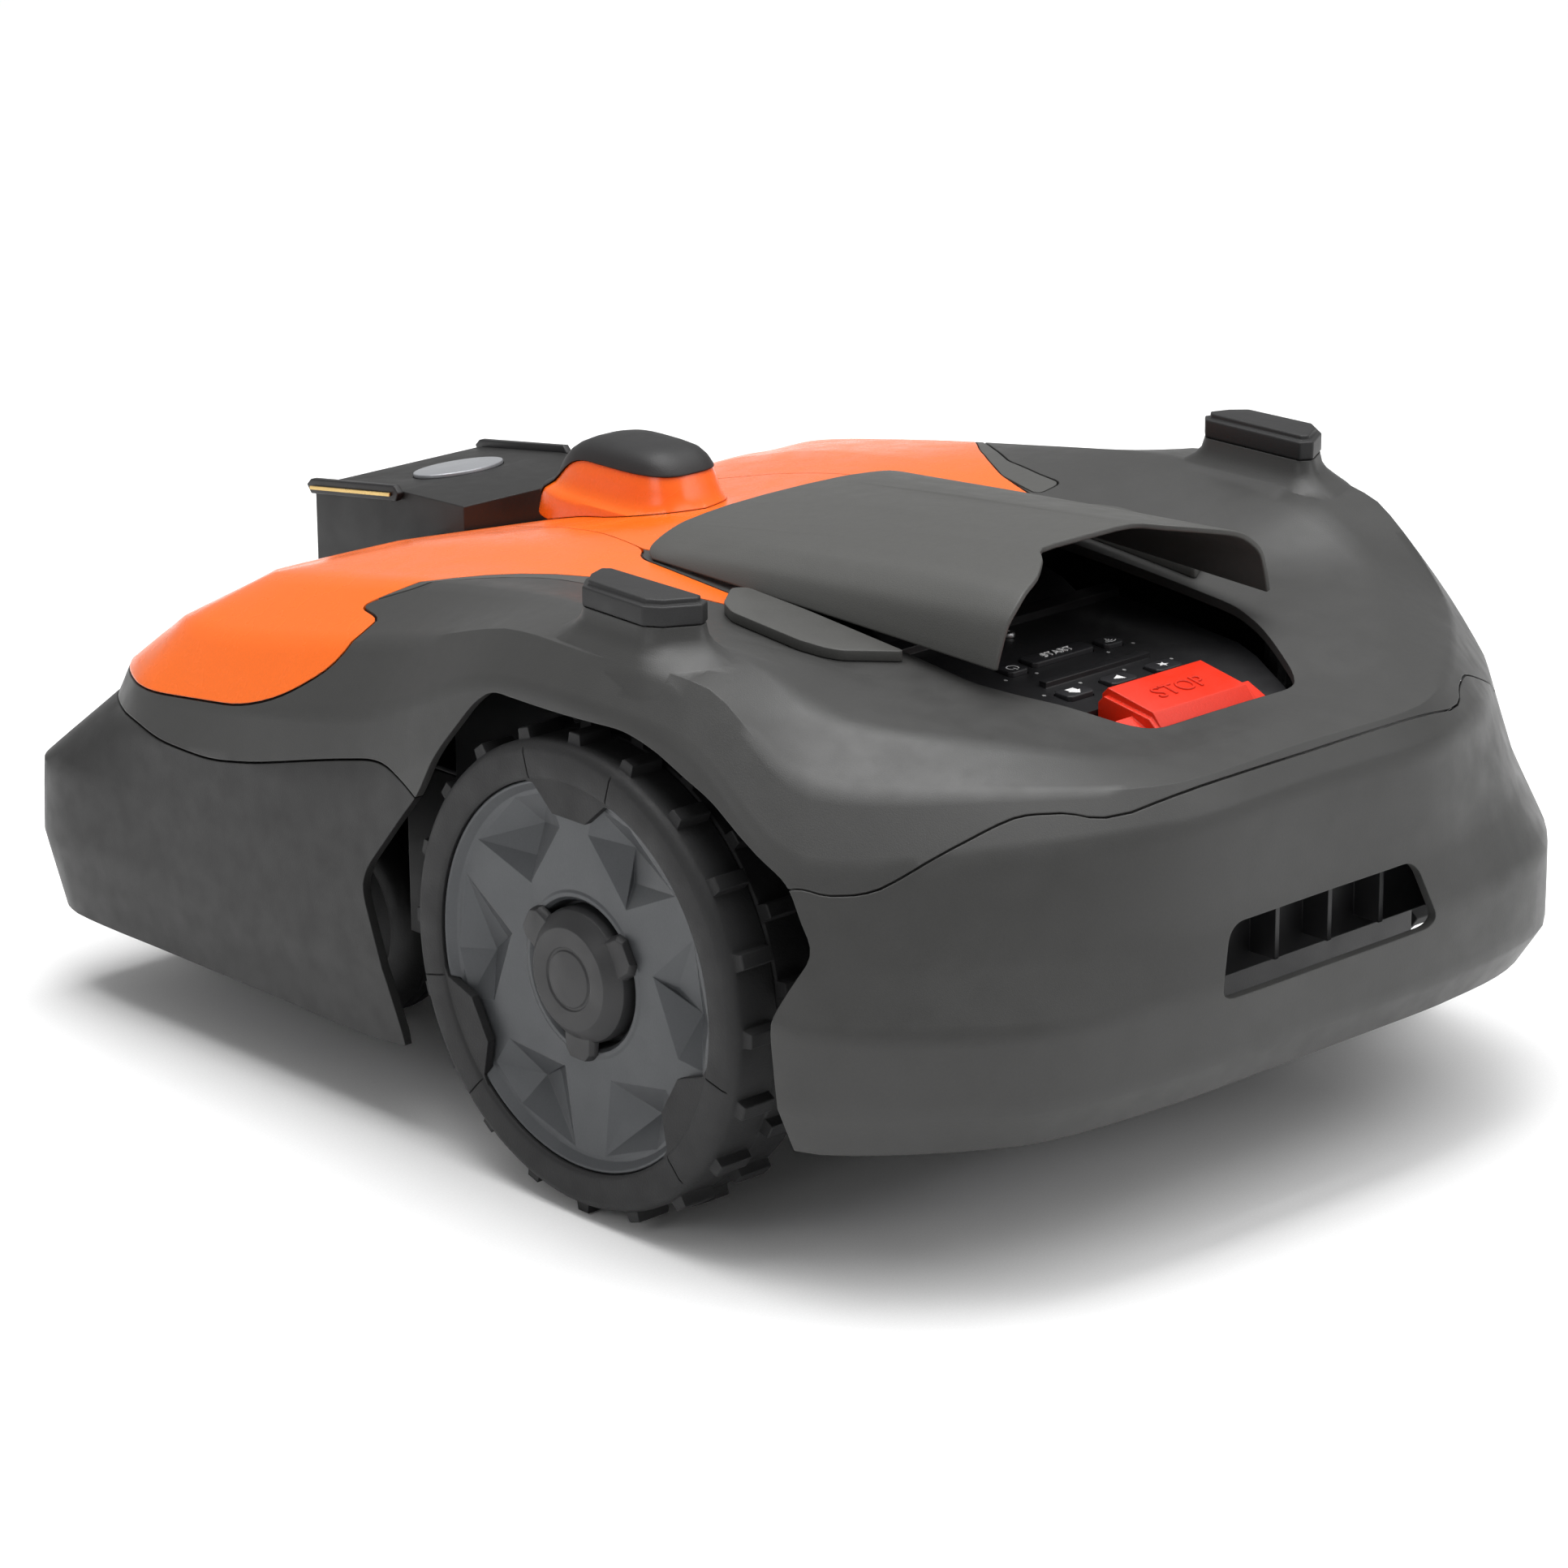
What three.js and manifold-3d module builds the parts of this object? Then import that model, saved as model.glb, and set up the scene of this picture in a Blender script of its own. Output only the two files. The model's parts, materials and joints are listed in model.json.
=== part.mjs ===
// Robotic lawn mower, millimetres. Front is -Y, rear is +Y, the machine's left side is +X, +Z is up.
// The origin is at floor level under the middle of the machine.
import * as THREE from "three";
import { mergeVertices } from "three/addons/utils/BufferGeometryUtils.js";
import Module from "manifold-3d";

const wasm = await Module();
wasm.setup();

// ---------------------------------------------------------------- driving sizes
const BODY_WIDTH_SCALE = 1; // widens everything the cover is made of
const BODY_LENGTH_SCALE = 1; // stretches everything the cover is made of
const FAR = 500; // reach of a cutting block, past every side of the machine
const SKIN = 2.4; // thickness of a pressed-on outer panel
const WALL = 5.2; // full thickness of the cover
const GAP = 0.4; // clearance between neighbouring pieces
const JOINT_LINE = 0.7; // visible line between two outer panels

const WHEEL_RADIUS = 125; // drive wheel without its lugs
const LUG_HEIGHT = 6;
const TYRE_WIDTH = 60;
const WHEEL_FACE_X = 282 * BODY_WIDTH_SCALE; // outer face of the tyre
const AXLE_Y = 108 * BODY_LENGTH_SCALE;
const AXLE_Z = WHEEL_RADIUS + LUG_HEIGHT;
const LUG_COUNT = 20;
const AXLE_RADIUS = 11;

const CASTER_X = 168 * BODY_WIDTH_SCALE;
const CASTER_PIVOT_Y = -231 * BODY_LENGTH_SCALE;
const CASTER_TRAIL = 28;
const CASTER_RADIUS = 62;
const CASTER_WIDTH = 38;

const BEAM_CLEARANCE = 16; // room between a caster wheel and the cross beam, for the fork crown
const BEAM_BOTTOM = 2 * CASTER_RADIUS + BEAM_CLEARANCE;
const BEAM = { bottom: BEAM_BOTTOM, top: BEAM_BOTTOM + 26 }; // cross beam that carries the casters
const BEAM_HALF = 21; // half its depth, front to back

const TUB_FLOOR_Z = 74;
const TUB_WALL = 4;

const DISC_Y = -40 * BODY_LENGTH_SCALE;
const DISC_RADIUS = 105;
const DISC_Z = 46;
const BLADE_COUNT = 3;

const HATCH_THICKNESS = 3.2;
const HINGE_Y = -25 * BODY_LENGTH_SCALE;
const HINGE_Z = 299;

const KEY_LIFT = 2.2; // how far a key stands proud of the plate
const KEY_TRAVEL = 1;
const STOP_TRAVEL = 4;

// ---------------------------------------------------------------- colours
const GREY = 0x5f5f5d;
const LIGHT_GREY = 0x787873;
const CHARCOAL = 0x3c3c3a;
const BLACK = 0x1b1b1c;
const ORANGE = 0xff6e14;
const RED = 0xe63214;
const RIM_GREY = 0x5a5c5f;
const STEEL = 0x9a9c9e;
const BRASS = 0xb08a3c;
const GREEN = 0x2f5a3a;

const model = new THREE.Group();
model.name = "robotic_lawn_mower";

// ---------------------------------------------------------------- solid helpers
function solidOf(geometry) {
  const bare = geometry.index ? geometry.toNonIndexed() : geometry.clone();
  bare.deleteAttribute("normal");
  bare.deleteAttribute("uv");
  const merged = mergeVertices(bare, 1e-4);
  return solidFrom(merged.attributes.position.array, merged.index.array);
}

function solidFrom(positions, indices) {
  const build = (order) =>
    new wasm.Manifold(
      new wasm.Mesh({
        numProp: 3,
        vertProperties: new Float32Array(positions),
        triVerts: new Uint32Array(order),
      }),
    );
  const made = build(indices);
  if (made.volume() >= 0) return made;
  const turned = Array.from(indices);
  for (let i = 0; i < turned.length; i += 3) {
    [turned[i + 1], turned[i + 2]] = [turned[i + 2], turned[i + 1]];
  }
  return build(turned);
}

function addPiece(name, solid, color) {
  const mesh = solid.getMesh();
  const positions = new Float32Array(mesh.numVert * 3);
  for (let i = 0; i < mesh.numVert; i += 1) {
    for (let axis = 0; axis < 3; axis += 1) {
      positions[3 * i + axis] = mesh.vertProperties[mesh.numProp * i + axis];
    }
  }
  const geometry = new THREE.BufferGeometry();
  geometry.setAttribute("position", new THREE.BufferAttribute(positions, 3));
  geometry.setIndex(new THREE.BufferAttribute(new Uint32Array(mesh.triVerts), 1));
  const flat = geometry.toNonIndexed();
  flat.computeVertexNormals();
  const piece = new THREE.Mesh(
    flat,
    new THREE.MeshStandardMaterial({ color, roughness: 0.6, flatShading: true }),
  );
  piece.name = name;
  model.add(piece);
}

const largest = (solid) =>
  solid.decompose().sort((a, b) => b.volume() - a.volume())[0];

function box(low, high) {
  const geometry = new THREE.BoxGeometry(
    high[0] - low[0],
    high[1] - low[1],
    high[2] - low[2],
  );
  geometry.translate(
    (low[0] + high[0]) / 2,
    (low[1] + high[1]) / 2,
    (low[2] + high[2]) / 2,
  );
  return solidOf(geometry);
}

// A cylinder along an axis ("x", "y" or "z") from one end to the other.
function rod(axis, centre, radius, from, to, sides = 24, endRadius = radius) {
  const geometry = new THREE.CylinderGeometry(endRadius, radius, to - from, sides);
  geometry.translate(0, (from + to) / 2, 0);
  if (axis === "x") geometry.rotateZ(-Math.PI / 2);
  if (axis === "z") geometry.rotateX(Math.PI / 2);
  geometry.translate(centre[0], centre[1], centre[2]);
  return solidOf(geometry);
}

function shapeOf(points) {
  return new THREE.Shape(points.map(([a, b]) => new THREE.Vector2(a, b)));
}

// Prisms of an outline: seen from above (x, y), and seen from the side (y, z).
function prismZ(points, low, high) {
  const geometry = new THREE.ExtrudeGeometry(shapeOf(points), {
    depth: high - low,
    bevelEnabled: false,
  });
  geometry.translate(0, 0, low);
  return solidOf(geometry);
}

function prismX(points, low, high) {
  const geometry = new THREE.ExtrudeGeometry(shapeOf(points), {
    depth: high - low,
    bevelEnabled: false,
  });
  geometry.applyMatrix4(
    new THREE.Matrix4().makeBasis(
      new THREE.Vector3(0, 1, 0),
      new THREE.Vector3(0, 0, 1),
      new THREE.Vector3(1, 0, 0),
    ),
  );
  geometry.translate(low, 0, 0);
  return solidOf(geometry);
}

const mirrorX = (solid) => solid.mirror([1, 0, 0]);
const move = (solid, x, y, z) => solid.translate([x, y, z]);
const union = (...solids) => solids.reduce((a, b) => a.add(b));
const sides = [
  ["left", 1],
  ["right", -1],
];
const onSide = (solid, side) => (side > 0 ? solid : mirrorX(solid));

// Outline grown outwards by a distance, for the cut that a neighbour leaves.
function grown(points, distance) {
  const area = points.reduce((sum, [x, y], i) => {
    const [u, v] = points[(i + 1) % points.length];
    return sum + x * v - u * y;
  }, 0);
  const turn = Math.sign(area);
  return points.map(([x, y], i) => {
    const before = points[(i + points.length - 1) % points.length];
    const after = points[(i + 1) % points.length];
    const a = new THREE.Vector2(x - before[0], y - before[1]).normalize();
    const b = new THREE.Vector2(after[0] - x, after[1] - y).normalize();
    const out = new THREE.Vector2((a.y + b.y) * turn, -(a.x + b.x) * turn);
    const reach = distance / Math.max(0.35, out.length() / 2);
    out.normalize().multiplyScalar(reach);
    return [x + out.x, y + out.y];
  });
}

const scaled = (points) =>
  points.map(([x, y]) => [x * BODY_WIDTH_SCALE, y * BODY_LENGTH_SCALE]);

// ---------------------------------------------------------------- cover shape
// One column of points per place round the left half of the body, front to rear.
// Each column climbs from the bottom edge over the shoulder to the middle of the top.
const CAGE = [
  [[0, -366, 52], [0, -374, 95], [0, -374, 138], [0, -330, 183], [0, -322, 200],
    [0, -300, 222], [0, -272, 240], [0, -235, 250], [0, -200, 262]],
  [[110, -366, 52], [110, -374, 95], [110, -374, 138], [110, -330, 183], [110, -322, 200],
    [106, -298, 224], [98, -270, 246], [78, -232, 258], [0, -165, 271]],
  [[205, -366, 50], [207, -375, 95], [207, -374, 138], [206, -326, 182], [204, -320, 200],
    [196, -292, 226], [172, -262, 251], [125, -218, 266], [0, -140, 277]],
  [[256, -364, 50], [264, -373, 95], [263, -371, 138], [246, -322, 182], [240, -317, 200],
    [223, -288, 228], [190, -250, 254], [132, -200, 271], [0, -120, 280]],
  [[275, -334, 50], [283, -338, 95], [283, -335, 138], [272, -284, 180], [264, -280, 200],
    [242, -262, 234], [204, -230, 261], [138, -176, 277], [0, -100, 284]],
  [[276, -240, 50], [283, -240, 95], [283, -240, 140], [281, -238, 177], [272, -234, 200],
    [250, -226, 236], [210, -200, 267], [140, -150, 282], [0, -78, 289]],
  [[276, -150, 50], [283, -150, 95], [283, -150, 140], [281, -150, 184], [274, -148, 214],
    [252, -144, 250], [212, -130, 279], [140, -98, 289], [0, -52, 294]],
  [[276, -62, 50], [283, -62, 95], [283, -62, 140], [280, -62, 196], [272, -62, 232],
    [250, -62, 268], [208, -58, 291], [140, -45, 292], [0, -24, 292]],
  [[276, 15, 60], [282, 20, 100], [283, 25, 160], [282, 28, 232], [275, 30, 272],
    [258, 34, 297], [214, 36, 303], [146, 38, 290], [0, 30, 284]],
  [[276, 108, 70], [282, 108, 105], [283, 108, 160], [282, 108, 240], [278, 108, 280],
    [262, 108, 300], [218, 108, 304], [146, 106, 286], [0, 90, 281]],
  [[276, 195, 78], [281, 195, 104], [281, 195, 160], [278, 192, 232], [270, 188, 270],
    [250, 182, 296], [208, 172, 300], [142, 160, 281], [0, 150, 277]],
  [[266, 278, 80], [276, 274, 104], [276, 272, 146], [266, 264, 180], [257, 256, 222],
    [238, 242, 256], [200, 225, 278], [136, 206, 276], [0, 200, 272]],
  [[188, 342, 82], [197, 353, 104], [197, 353, 146], [183, 341, 180], [171, 328, 230],
    [158, 314, 252], [134, 290, 264], [108, 262, 268], [0, 245, 268]],
  [[100, 364, 87], [101, 374, 106], [101, 374, 146], [99, 367, 178], [96, 362, 234],
    [92, 351, 251], [84, 326, 256], [70, 300, 258], [0, 278, 262]],
  [[0, 367, 89], [0, 376, 107], [0, 376, 146], [0, 369, 178], [0, 364, 236],
    [0, 353, 252], [0, 330, 256], [0, 314, 257], [0, 302, 258]],
].map((column) =>
  column.map(([x, y, z]) => [x * BODY_WIDTH_SCALE, y * BODY_LENGTH_SCALE, z]),
);

// The body's solid form, made smaller all round by an inset.
function bodySolid(inset) {
  const columns = CAGE.length;
  const rows = CAGE[0].length;
  const at = (j, k) => new THREE.Vector3(...CAGE[j][k]);
  const point = (j, k) => {
    const p = at(j, k);
    if (inset === 0) return p;
    const along = at(Math.min(columns - 1, j + 1), k).sub(at(Math.max(0, j - 1), k));
    const up = at(j, Math.min(rows - 1, k + 1)).sub(at(j, Math.max(0, k - 1)));
    if (j === 0 || j === columns - 1) along.setY(0).setZ(0);
    const normal = along.cross(up).normalize();
    if (j === 0 || j === columns - 1 || k === rows - 1) normal.setX(0).normalize();
    if (k === rows - 1) normal.set(0, 0, -1);
    if (normal.dot(new THREE.Vector3(p.x, p.y * 0.6, 90)) > 0) normal.negate();
    p.addScaledVector(normal, inset);
    if (j === 0 || j === columns - 1 || k === rows - 1) p.setX(0);
    if (k === 0) p.setZ(p.z - 12);
    return p;
  };
  const positions = [];
  const indices = [];
  const leftIndex = [];
  const rightIndex = [];
  for (let j = 0; j < columns; j += 1) {
    leftIndex.push([]);
    rightIndex.push([]);
    for (let k = 0; k < rows; k += 1) {
      const p = point(j, k);
      leftIndex[j].push(positions.length / 3);
      positions.push(p.x, p.y, p.z);
      const onMiddle = j === 0 || j === columns - 1 || k === rows - 1;
      if (onMiddle) {
        rightIndex[j].push(leftIndex[j][k]);
      } else {
        rightIndex[j].push(positions.length / 3);
        positions.push(-p.x, p.y, p.z);
      }
    }
  }
  const quad = (a, b, c, d) => {
    if (a !== b && b !== c && a !== c) indices.push(a, b, c);
    if (a !== c && c !== d && a !== d) indices.push(a, c, d);
  };
  for (let j = 0; j < columns - 1; j += 1) {
    for (let k = 0; k < rows - 1; k += 1) {
      quad(leftIndex[j][k], leftIndex[j][k + 1], leftIndex[j + 1][k + 1], leftIndex[j + 1][k]);
      quad(rightIndex[j][k], rightIndex[j + 1][k], rightIndex[j + 1][k + 1], rightIndex[j][k + 1]);
    }
    quad(rightIndex[j][0], leftIndex[j][0], leftIndex[j + 1][0], rightIndex[j + 1][0]);
  }
  return solidFrom(positions, indices);
}

const BODY = bodySolid(0);
const UNDER_SKIN = bodySolid(SKIN);
const UNDER_SKIN_CLEAR = bodySolid(SKIN + GAP);
const INSIDE = bodySolid(WALL);

// ---------------------------------------------------------------- cut lines
const NOSE = { x: 62, front: -374, back: -236, z: 268, frontZ: 257, bottom: 56 };

// Opening round the drive wheel, seen from the side as (y, z) from the axle. It grows with the wheel.
const ARCH_SCALE = (WHEEL_RADIUS + LUG_HEIGHT) / 131;
const ARCH = [
  [-140, -111], [-144, -73], [-152, -38], [-168, 6], [-164, 19], [-133, 56], [-121, 69],
  [-105, 97], [-78, 129], [-64, 139], [38, 141], [60, 135], [98, 117], [130, 93],
  [143, 84], [161, 50], [149, 16], [154, -29], [162, -111],
].map(([y, z]) => [AXLE_Y + y * ARCH_SCALE, AXLE_Z + z * ARCH_SCALE]);
const WELL_INNER_X = 212 * BODY_WIDTH_SCALE; // how far in the wheel opening reaches
const ARCH_CUT = prismX(ARCH, WELL_INNER_X, 320 * BODY_WIDTH_SCALE);
const BOTH_ARCHES = union(ARCH_CUT, mirrorX(ARCH_CUT));

// Line between the front skirt and the cover, seen from the side (y, z).
const SKIRT_TOP = [
  [-420, 181], [-320, 181], [-271, 181], [-242, 177], [-192, 177], [-154, 184], [-92, 200],
  [-50, 210], [-30, 207], [0, 190],
].map(([y, z]) => [y * BODY_LENGTH_SCALE, z]);
const skirtZone = (shift) =>
  prismX(
    [
      ...SKIRT_TOP.map(([y, z]) => [y, z + shift]),
      [0, 20],
      [-420 * BODY_LENGTH_SCALE, 20],
    ],
    NOSE.x * BODY_WIDTH_SCALE + GAP * 2 - shift * 2,
    330 * BODY_WIDTH_SCALE,
  );

// Line between the bumper and the cover, on a sheet that leans 45 degrees: (x, z - y).
const BUMPER_LINE = [
  [0, -109], [120, -107], [150, -86], [170, -74], [200, -73], [232, -73], [250, -60],
  [268, -36], [330, 10],
];
const BUMPER_FRONT_Y = 225 * BODY_LENGTH_SCALE; // the bumper lies behind this line
function bumperZone(shift) {
  const half = BUMPER_LINE.map(([x, w]) => [
    x * BODY_WIDTH_SCALE,
    (w - 376 * (BODY_LENGTH_SCALE - 1)) / Math.SQRT2 + shift,
  ]);
  const mirrored = half.slice(1).reverse().map(([x, w]) => [-x, w]);
  const reach = 330 * BODY_WIDTH_SCALE;
  const outline = [...mirrored, ...half, [reach, -FAR], [-reach, -FAR]];
  const geometry = new THREE.ExtrudeGeometry(shapeOf(outline), {
    depth: 2 * FAR,
    bevelEnabled: false,
  });
  const lean = Math.SQRT1_2;
  geometry.applyMatrix4(
    new THREE.Matrix4().makeBasis(
      new THREE.Vector3(1, 0, 0),
      new THREE.Vector3(0, -lean, lean),
      new THREE.Vector3(0, -lean, -lean),
    ),
  );
  geometry.translate(0, FAR * Math.SQRT1_2, FAR * Math.SQRT1_2);
  return solidOf(geometry).intersect(box([-FAR, BUMPER_FRONT_Y, 0], [FAR, FAR, FAR]));
}

// Orange panels, seen from above (x, y).
const SPLIT_FRONT = [62, -232];
const SPLIT_REAR = [97, -40];
const CENTRE_PANEL = scaled([
  [-SPLIT_FRONT[0], SPLIT_FRONT[1]],
  SPLIT_FRONT,
  SPLIT_REAR,
  [90, -24],
  [-90, -24],
  [-SPLIT_REAR[0], SPLIT_REAR[1]],
]);
const ARM_PANEL = scaled([
  [SPLIT_FRONT[0] + JOINT_LINE, SPLIT_FRONT[1]],
  [67, -262], [120, -270], [175, -296], [215, -330], [300, -345], [300, -97], [236, -97],
  [229, -124], [208, -92], [185, -66], [165, -38], [150, -14], [136, 25], [124, 68], [113, 62],
  [110, -30],
  [SPLIT_REAR[0] + JOINT_LINE, SPLIT_REAR[1]],
]);
const ARM_LOWER_EDGE = [
  [-420, 196], [-323, 198], [-260, 199], [-175, 211], [-142, 223], [-108, 246], [-96, 276],
  [-96, 420], [-420, 420],
].map(([y, z]) => [y * BODY_LENGTH_SCALE, z]);
const INLAY_PANEL = scaled([
  [226, -121], [214, -94], [192, -62], [172, -30], [163, 4], [160, 24], [141, 24], [150, -12],
  [165.5, -37.2], [185.5, -65.4], [208.5, -91.4],
]);

const ARM_FRONT_Z = 196; // the orange stops above this height all along the front
function armZone(outline, shift) {
  const edge = shift > 0 ? grown(ARM_LOWER_EDGE, shift) : ARM_LOWER_EDGE;
  const flank = box([212 * BODY_WIDTH_SCALE, -420 * BODY_LENGTH_SCALE, 0], [340, 0, 420]);
  return prismZ(outline, ARM_FRONT_Z - shift, 420).subtract(flank.subtract(prismX(edge, 200, 350)));
}

// Opening for the control console, seen from above (x, y).
const CONSOLE_OPENING = scaled([
  [-84, 20], [84, 20], [96, 60], [99, 215], [90, 240], [64, 288], [52, 300], [-52, 300],
  [-64, 288], [-90, 240], [-99, 215], [-96, 60],
]);
const CONSOLE_CUT = prismZ(CONSOLE_OPENING, 190, 400);

const noseOutline = (extra) =>
  scaled([
    [-NOSE.x - extra, NOSE.front - 10],
    [NOSE.x + extra, NOSE.front - 10],
    [NOSE.x + extra, NOSE.back + extra],
    [-NOSE.x - extra, NOSE.back + extra],
  ]);

// Rubber rest pads on the rear shoulders, seen from above (x, y).
const PAD = scaled([
  [221, 78], [227, 72], [240, 77], [250, 86], [252, 134], [246, 143], [228, 153], [221, 149],
]);
const PAD_BOTTOM_Z = 318.5;
const PAD_TOP_Z = 332;
const PEDESTAL_ROOT = scaled([
  [204, 52], [216, 44], [250, 50], [264, 64], [268, 150], [256, 170], [224, 180], [204, 166],
]);

// How far each level of the pedestal has drawn in from its root to the pad, and its height.
const PEDESTAL_LEVELS = [
  [0, 288],
  [0.42, 301],
  [0.88, 309],
  [1, PAD_BOTTOM_Z - GAP],
];

function pedestal() {
  const count = PAD.length;
  const positions = [];
  const indices = [];
  for (const [share, z] of PEDESTAL_LEVELS) {
    PEDESTAL_ROOT.forEach(([x, y], i) => {
      positions.push(x + (PAD[i][0] - x) * share, y + (PAD[i][1] - y) * share, z);
    });
  }
  for (let level = 0; level < PEDESTAL_LEVELS.length - 1; level += 1) {
    for (let i = 0; i < count; i += 1) {
      const a = level * count + i;
      const b = level * count + ((i + 1) % count);
      indices.push(a, b, b + count, a, b + count, a + count);
    }
  }
  const top = (PEDESTAL_LEVELS.length - 1) * count;
  for (let i = 1; i < count - 1; i += 1) {
    indices.push(0, i + 1, i);
    indices.push(top, top + i, top + i + 1);
  }
  return solidFrom(positions, indices);
}

// Air intake slot in the bumper, seen from the rear (x, z).
const SLOT = [
  [-82, 143], [-76, 139], [76, 139], [82, 143], [72, 171], [65, 176], [-65, 176], [-72, 171],
].map(([x, z]) => [x * BODY_WIDTH_SCALE, z]);
function slotCut() {
  const geometry = new THREE.ExtrudeGeometry(shapeOf(SLOT), { depth: 60, bevelEnabled: false });
  geometry.rotateX(Math.PI / 2);
  geometry.translate(0, 400 * BODY_LENGTH_SCALE, 0);
  return solidOf(geometry);
}

// ---------------------------------------------------------------- step trims beside the hatch
const STEP_TRIM = scaled([
  [109, 56], [117, 52], [139, 70], [146, 84], [149, 138], [138, 158], [109, 176],
]);
const TRIM_THICKNESS = 6;

// ---------------------------------------------------------------- cover pieces
function makeCover() {
  const pedestals = union(pedestal(), mirrorX(pedestal()));
  const wall = union(BODY, pedestals).subtract(INSIDE);
  const skinCut = (outline, makeZone) => makeZone(grown(outline, GAP), GAP).subtract(UNDER_SKIN_CLEAR);
  const plainZone = (outline) => prismZ(outline, 0, 420);
  const arm = skinCut(ARM_PANEL, armZone);
  const inlay = skinCut(INLAY_PANEL, plainZone);
  const skirt = skirtZone(GAP);
  const noseCut = prismZ(noseOutline(GAP), 0, 420);
  const cut = union(
    arm,
    mirrorX(arm),
    inlay,
    mirrorX(inlay),
    skirt,
    mirrorX(skirt),
    skinCut(CENTRE_PANEL, plainZone),
    bumperZone(GAP),
    BOTH_ARCHES,
    CONSOLE_CUT,
    noseCut,
  );
  addPiece("main_cover", largest(wall.subtract(cut)), GREY);
}

const SKIRT_INNER_X = (NOSE.x + 8) * BODY_WIDTH_SCALE;

function makeSkirts() {
  const wall = BODY.subtract(INSIDE);
  const middle = box([-FAR, -FAR, 0], [SKIRT_INNER_X, FAR, FAR]);
  const skirt = largest(wall.intersect(skirtZone(0)).subtract(ARCH_CUT).subtract(middle));
  for (const [side, sign] of sides) {
    addPiece("front_skirt_" + side, onSide(skirt, sign), CHARCOAL);
  }
}

function makeBumper() {
  const wall = BODY.subtract(INSIDE);
  const bumper = wall.intersect(bumperZone(0)).subtract(BOTH_ARCHES).subtract(slotCut());
  const ahead = box([-FAR, 0, 0], [FAR, BUMPER_FRONT_Y, FAR]);
  addPiece("rear_bumper", largest(bumper.subtract(ahead)), GREY);
}

function makeOrangePanels() {
  const skin = BODY.subtract(UNDER_SKIN);
  const noseCut = prismZ(noseOutline(GAP), 0, 420);
  const centre = skin.intersect(prismZ(CENTRE_PANEL, 0, 420)).subtract(noseCut);
  addPiece("orange_centre_panel", largest(centre), ORANGE);
  const arm = largest(
    skin.intersect(armZone(ARM_PANEL, 0)).subtract(noseCut),
  );
  for (const [side, sign] of sides) addPiece("orange_arm_" + side, onSide(arm, sign), ORANGE);
  const inlay = largest(
    skin.intersect(prismZ(INLAY_PANEL, 0, 420)).subtract(prismZ(grown(ARM_PANEL, GAP), 0, 420)),
  );
  for (const [side, sign] of sides) addPiece("arm_inlay_" + side, onSide(inlay, sign), LIGHT_GREY);
}

function makeStepTrims() {
  const layer = bodySolid(-TRIM_THICKNESS).subtract(bodySolid(-GAP));
  const trim = largest(layer.intersect(prismZ(STEP_TRIM, 200, 420)));
  for (const [side, sign] of sides) addPiece("step_trim_" + side, onSide(trim, sign), LIGHT_GREY);
}

function makePads() {
  const chamfer = 3;
  const base = prismZ(PAD, PAD_BOTTOM_Z, PAD_TOP_Z - chamfer);
  const top = prismZ(grown(PAD, -chamfer), PAD_TOP_Z - chamfer - 1, PAD_TOP_Z);
  for (const [side, sign] of sides) addPiece("rest_pad_" + side, onSide(union(base, top), sign), BLACK);
}

// ---------------------------------------------------------------- nose and charging contacts

function makeNose() {
  const { x, front, back, z, frontZ, bottom } = NOSE;
  const half = x * BODY_WIDTH_SCALE;
  const profile = [
    [front, bottom], [back, bottom], [back, z + 2], [-294, z], [front + 3, frontZ], [front, frontZ - 4],
  ].map(([y, h]) => [y * BODY_LENGTH_SCALE, h]);
  const block = prismX(profile, -half, half);
  const hollow = prismX(
    [[front + 4, bottom - 5], [back - 4, bottom - 5], [back - 4, z - 3], [front + 4, frontZ - 9]].map(
      ([y, h]) => [y * BODY_LENGTH_SCALE, h],
    ),
    -half + 4,
    half - 4,
  );
  const plateSeat = move(noseBadge(1, GAP), 0, 0, -1.2);
  const beamPassage = box(
    [-100, CASTER_PIVOT_Y - BEAM_HALF - GAP * 3, 0],
    [100, 0, BEAM.top + GAP * 3],
  );
  addPiece("nose_module", block.subtract(hollow).subtract(plateSeat).subtract(beamPassage), CHARCOAL);
  addPiece("nose_badge_plate", noseBadge(0, 0), LIGHT_GREY);
  for (const [side, sign] of sides) {
    const bracket = prismX(
      [[-372, 252], [-292, 263], [-290, 268], [-294, 272], [-372, 261], [-376, 257]].map(
        ([y, h]) => [y * BODY_LENGTH_SCALE, h],
      ),
      half + GAP,
      half + 5,
    );
    const strip = prismX(
      [[-371, 255], [-296, 265.4], [-296, 267.6], [-371, 257.2]].map(([y, h]) => [y * BODY_LENGTH_SCALE, h]),
      half + 5 + GAP,
      half + 6.6,
    );
    addPiece("contact_bracket_" + side, onSide(bracket, sign), BLACK);
    addPiece("charging_contact_" + side, onSide(strip, sign), BRASS);
  }
}

// Plain oval plate on top of the nose.
function noseBadge(extra, clear) {
  const geometry = new THREE.CylinderGeometry(26 + clear, 26 + clear, 2.4 + extra * 3, 32);
  geometry.rotateX(Math.PI / 2);
  geometry.scale(1.15, 0.8, 1);
  geometry.rotateX(0.137);
  geometry.translate(0, -316 * BODY_LENGTH_SCALE, 265.9 + extra * 1.5);
  return solidOf(geometry);
}

// ---------------------------------------------------------------- receiver dome
// Rings of the dome from its flared foot to its top: half width, front y, rear y, height.
const DOME_RINGS = [
  [38, -219, -86, 266], [35, -214, -92, 280], [28, -204, -102, 286], [25, -200, -105, 294],
  [21, -186, -111, 304], [17, -174, -116, 311], [10, -164, -124, 315],
];

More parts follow.
